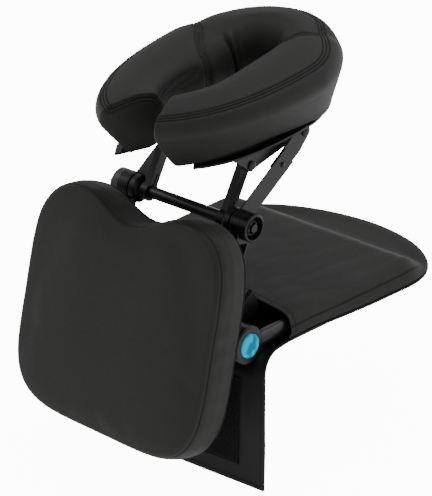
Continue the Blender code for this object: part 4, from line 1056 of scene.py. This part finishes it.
# A merged copy of a CAD node with small rounds on its edges.
def finishedCopy(node, body, slot, material, bevel):
    mesh = frame["nodes"][node].data.copy()
    mesh.name = node + "Skin"
    points = np.empty(len(mesh.vertices) * 3)
    mesh.vertices.foreach_get("co", points)
    mesh.vertices.foreach_set("co", unevenly(node, points.reshape(-1, 3)).ravel())
    work = bmesh.new()
    work.from_mesh(mesh)
    bmesh.ops.remove_doubles(work, verts=work.verts, dist=1e-5)
    bmesh.ops.dissolve_limit(work, angle_limit=math.radians(1.0), verts=work.verts, edges=work.edges)
    work.to_mesh(mesh)
    work.free()
    mesh.materials.clear()
    mesh.materials.append(material)
    made = bpy.data.objects.new(node + "Skin", mesh)
    bpy.context.scene.collection.objects.link(made)
    if bevel:
        rounding = made.modifiers.new("round", "BEVEL")
        rounding.width, rounding.segments = bevel, 2
        rounding.limit_method, rounding.angle_limit = "ANGLE", math.radians(40.0)
    mesh.polygons.foreach_set("use_smooth", np.full(len(mesh.polygons), True))
    mesh.set_sharp_from_angle(angle=math.radians(38.0))
    return finishPiece(made, body, slot, node)


nodeBody = {node: body for body, nodes in frame["record"]["behaviour"]["bodies"].items() for node in nodes}
hardFinish = {
    "knuckle_housing": ("plastic", "black_plastic", 0.0004),
    "knuckle_cap": ("cap", "cap_blue", 0.0),
    "side_rail": ("satinTube", "tube_aluminium", 0.0),
    "rail_elbow": ("plastic", "black_plastic", 0.0),
    "rail_saddle": ("rubber", "rubber", 0.0005),
    "rear_cross_tube": ("satinTube", "tube_aluminium", 0.0),
    "front_cross_shaft": ("satinTube", "tube_aluminium", 0.0),
    "upright_arm": ("plastic", "black_plastic", 0.0005),
    "lock_lever": ("plastic", "black_plastic", 0.0008),
    "crossbar": ("satinTube", "tube_aluminium", 0.0),
    "clutch_drum": ("plastic", "black_plastic", 0.0003),
    "hub_cap": ("plastic", "black_plastic", 0.0003),
    "hub_cap_left": ("greyHub", "black_plastic", 0.0003),
    "hub_bolt": ("steel", "bolt_steel", 0.0003),
    "cam_post": ("steel", "bolt_steel", 0.0003),
    "cam_lever": ("bright", "bolt_steel", 0.0006),
    "front_strut": ("powderCoat", "painted_steel", 0.0006),
    "clamp_screw": ("steel", "bolt_steel", 0.0002),
    "brace_": ("powderCoat", "painted_steel", 0.0003),
    "brace_rivet": ("steel", "bolt_steel", 0.0),
    "platform_bracket": ("powderCoat", "painted_steel", 0.0004),
    "front_pivot_bolt": ("steel", "bolt_steel", 0.0),
    "rear_pivot_bolt": ("steel", "bolt_steel", 0.0),
    "platform_plate": ("plastic", "black_plastic", 0.0004),
    "hook_strip": ("tape", "hook_and_loop", 0.0),
    "pad_board": ("board", "board_wood", 0.0006),
    "pad_track": ("satinTube", "tube_aluminium", 0.0005),
    "pad_clamp_block": ("plastic", "black_plastic", 0.0008),
    "pad_lock_knob": ("plastic", "black_plastic", 0.0008),
}


platform = {
    "rolled": {"platform_plate": (-2.0, -1.0), "hook_strip": (-2.0, -1.0), "platform_bracket": (0.225, 0.245)},
    "skewed": ("platform_plate", "hook_strip"),
    "tipStart": 0.10,
    "rightShorter": 0.016,
    "leftLonger": 0.012,
    "rightNarrower": 0.965,
    "saddleEnd": 0.1485,
}


# Every rigid node gets its finish and its rounded edges, by the longest name that fits it.
def buildHardParts():
    done = set(name for piece in bpy.data.objects for name in piece.get("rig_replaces", []))
    for node in sorted(frame["nodes"]):
        fits = [key for key in hardFinish if node.startswith(key)]
        if node in done or not fits:
            continue
        look, slot, bevel = hardFinish[max(fits, key=len)]
        finishedCopy(node, nodeBody[node], slot, finishes[look], bevel)


buildHardParts()
print("hard parts made")

half, level = room["floorSize"] / 2, cadLow.z - room["floorDrop"]
corners = [(-half, -half, level), (half, -half, level), (half, half, level), (-half, half, level)]
ground = meshFrom("ground", corners, [[0, 1, 2, 3]], [], finishes["floor"], False)
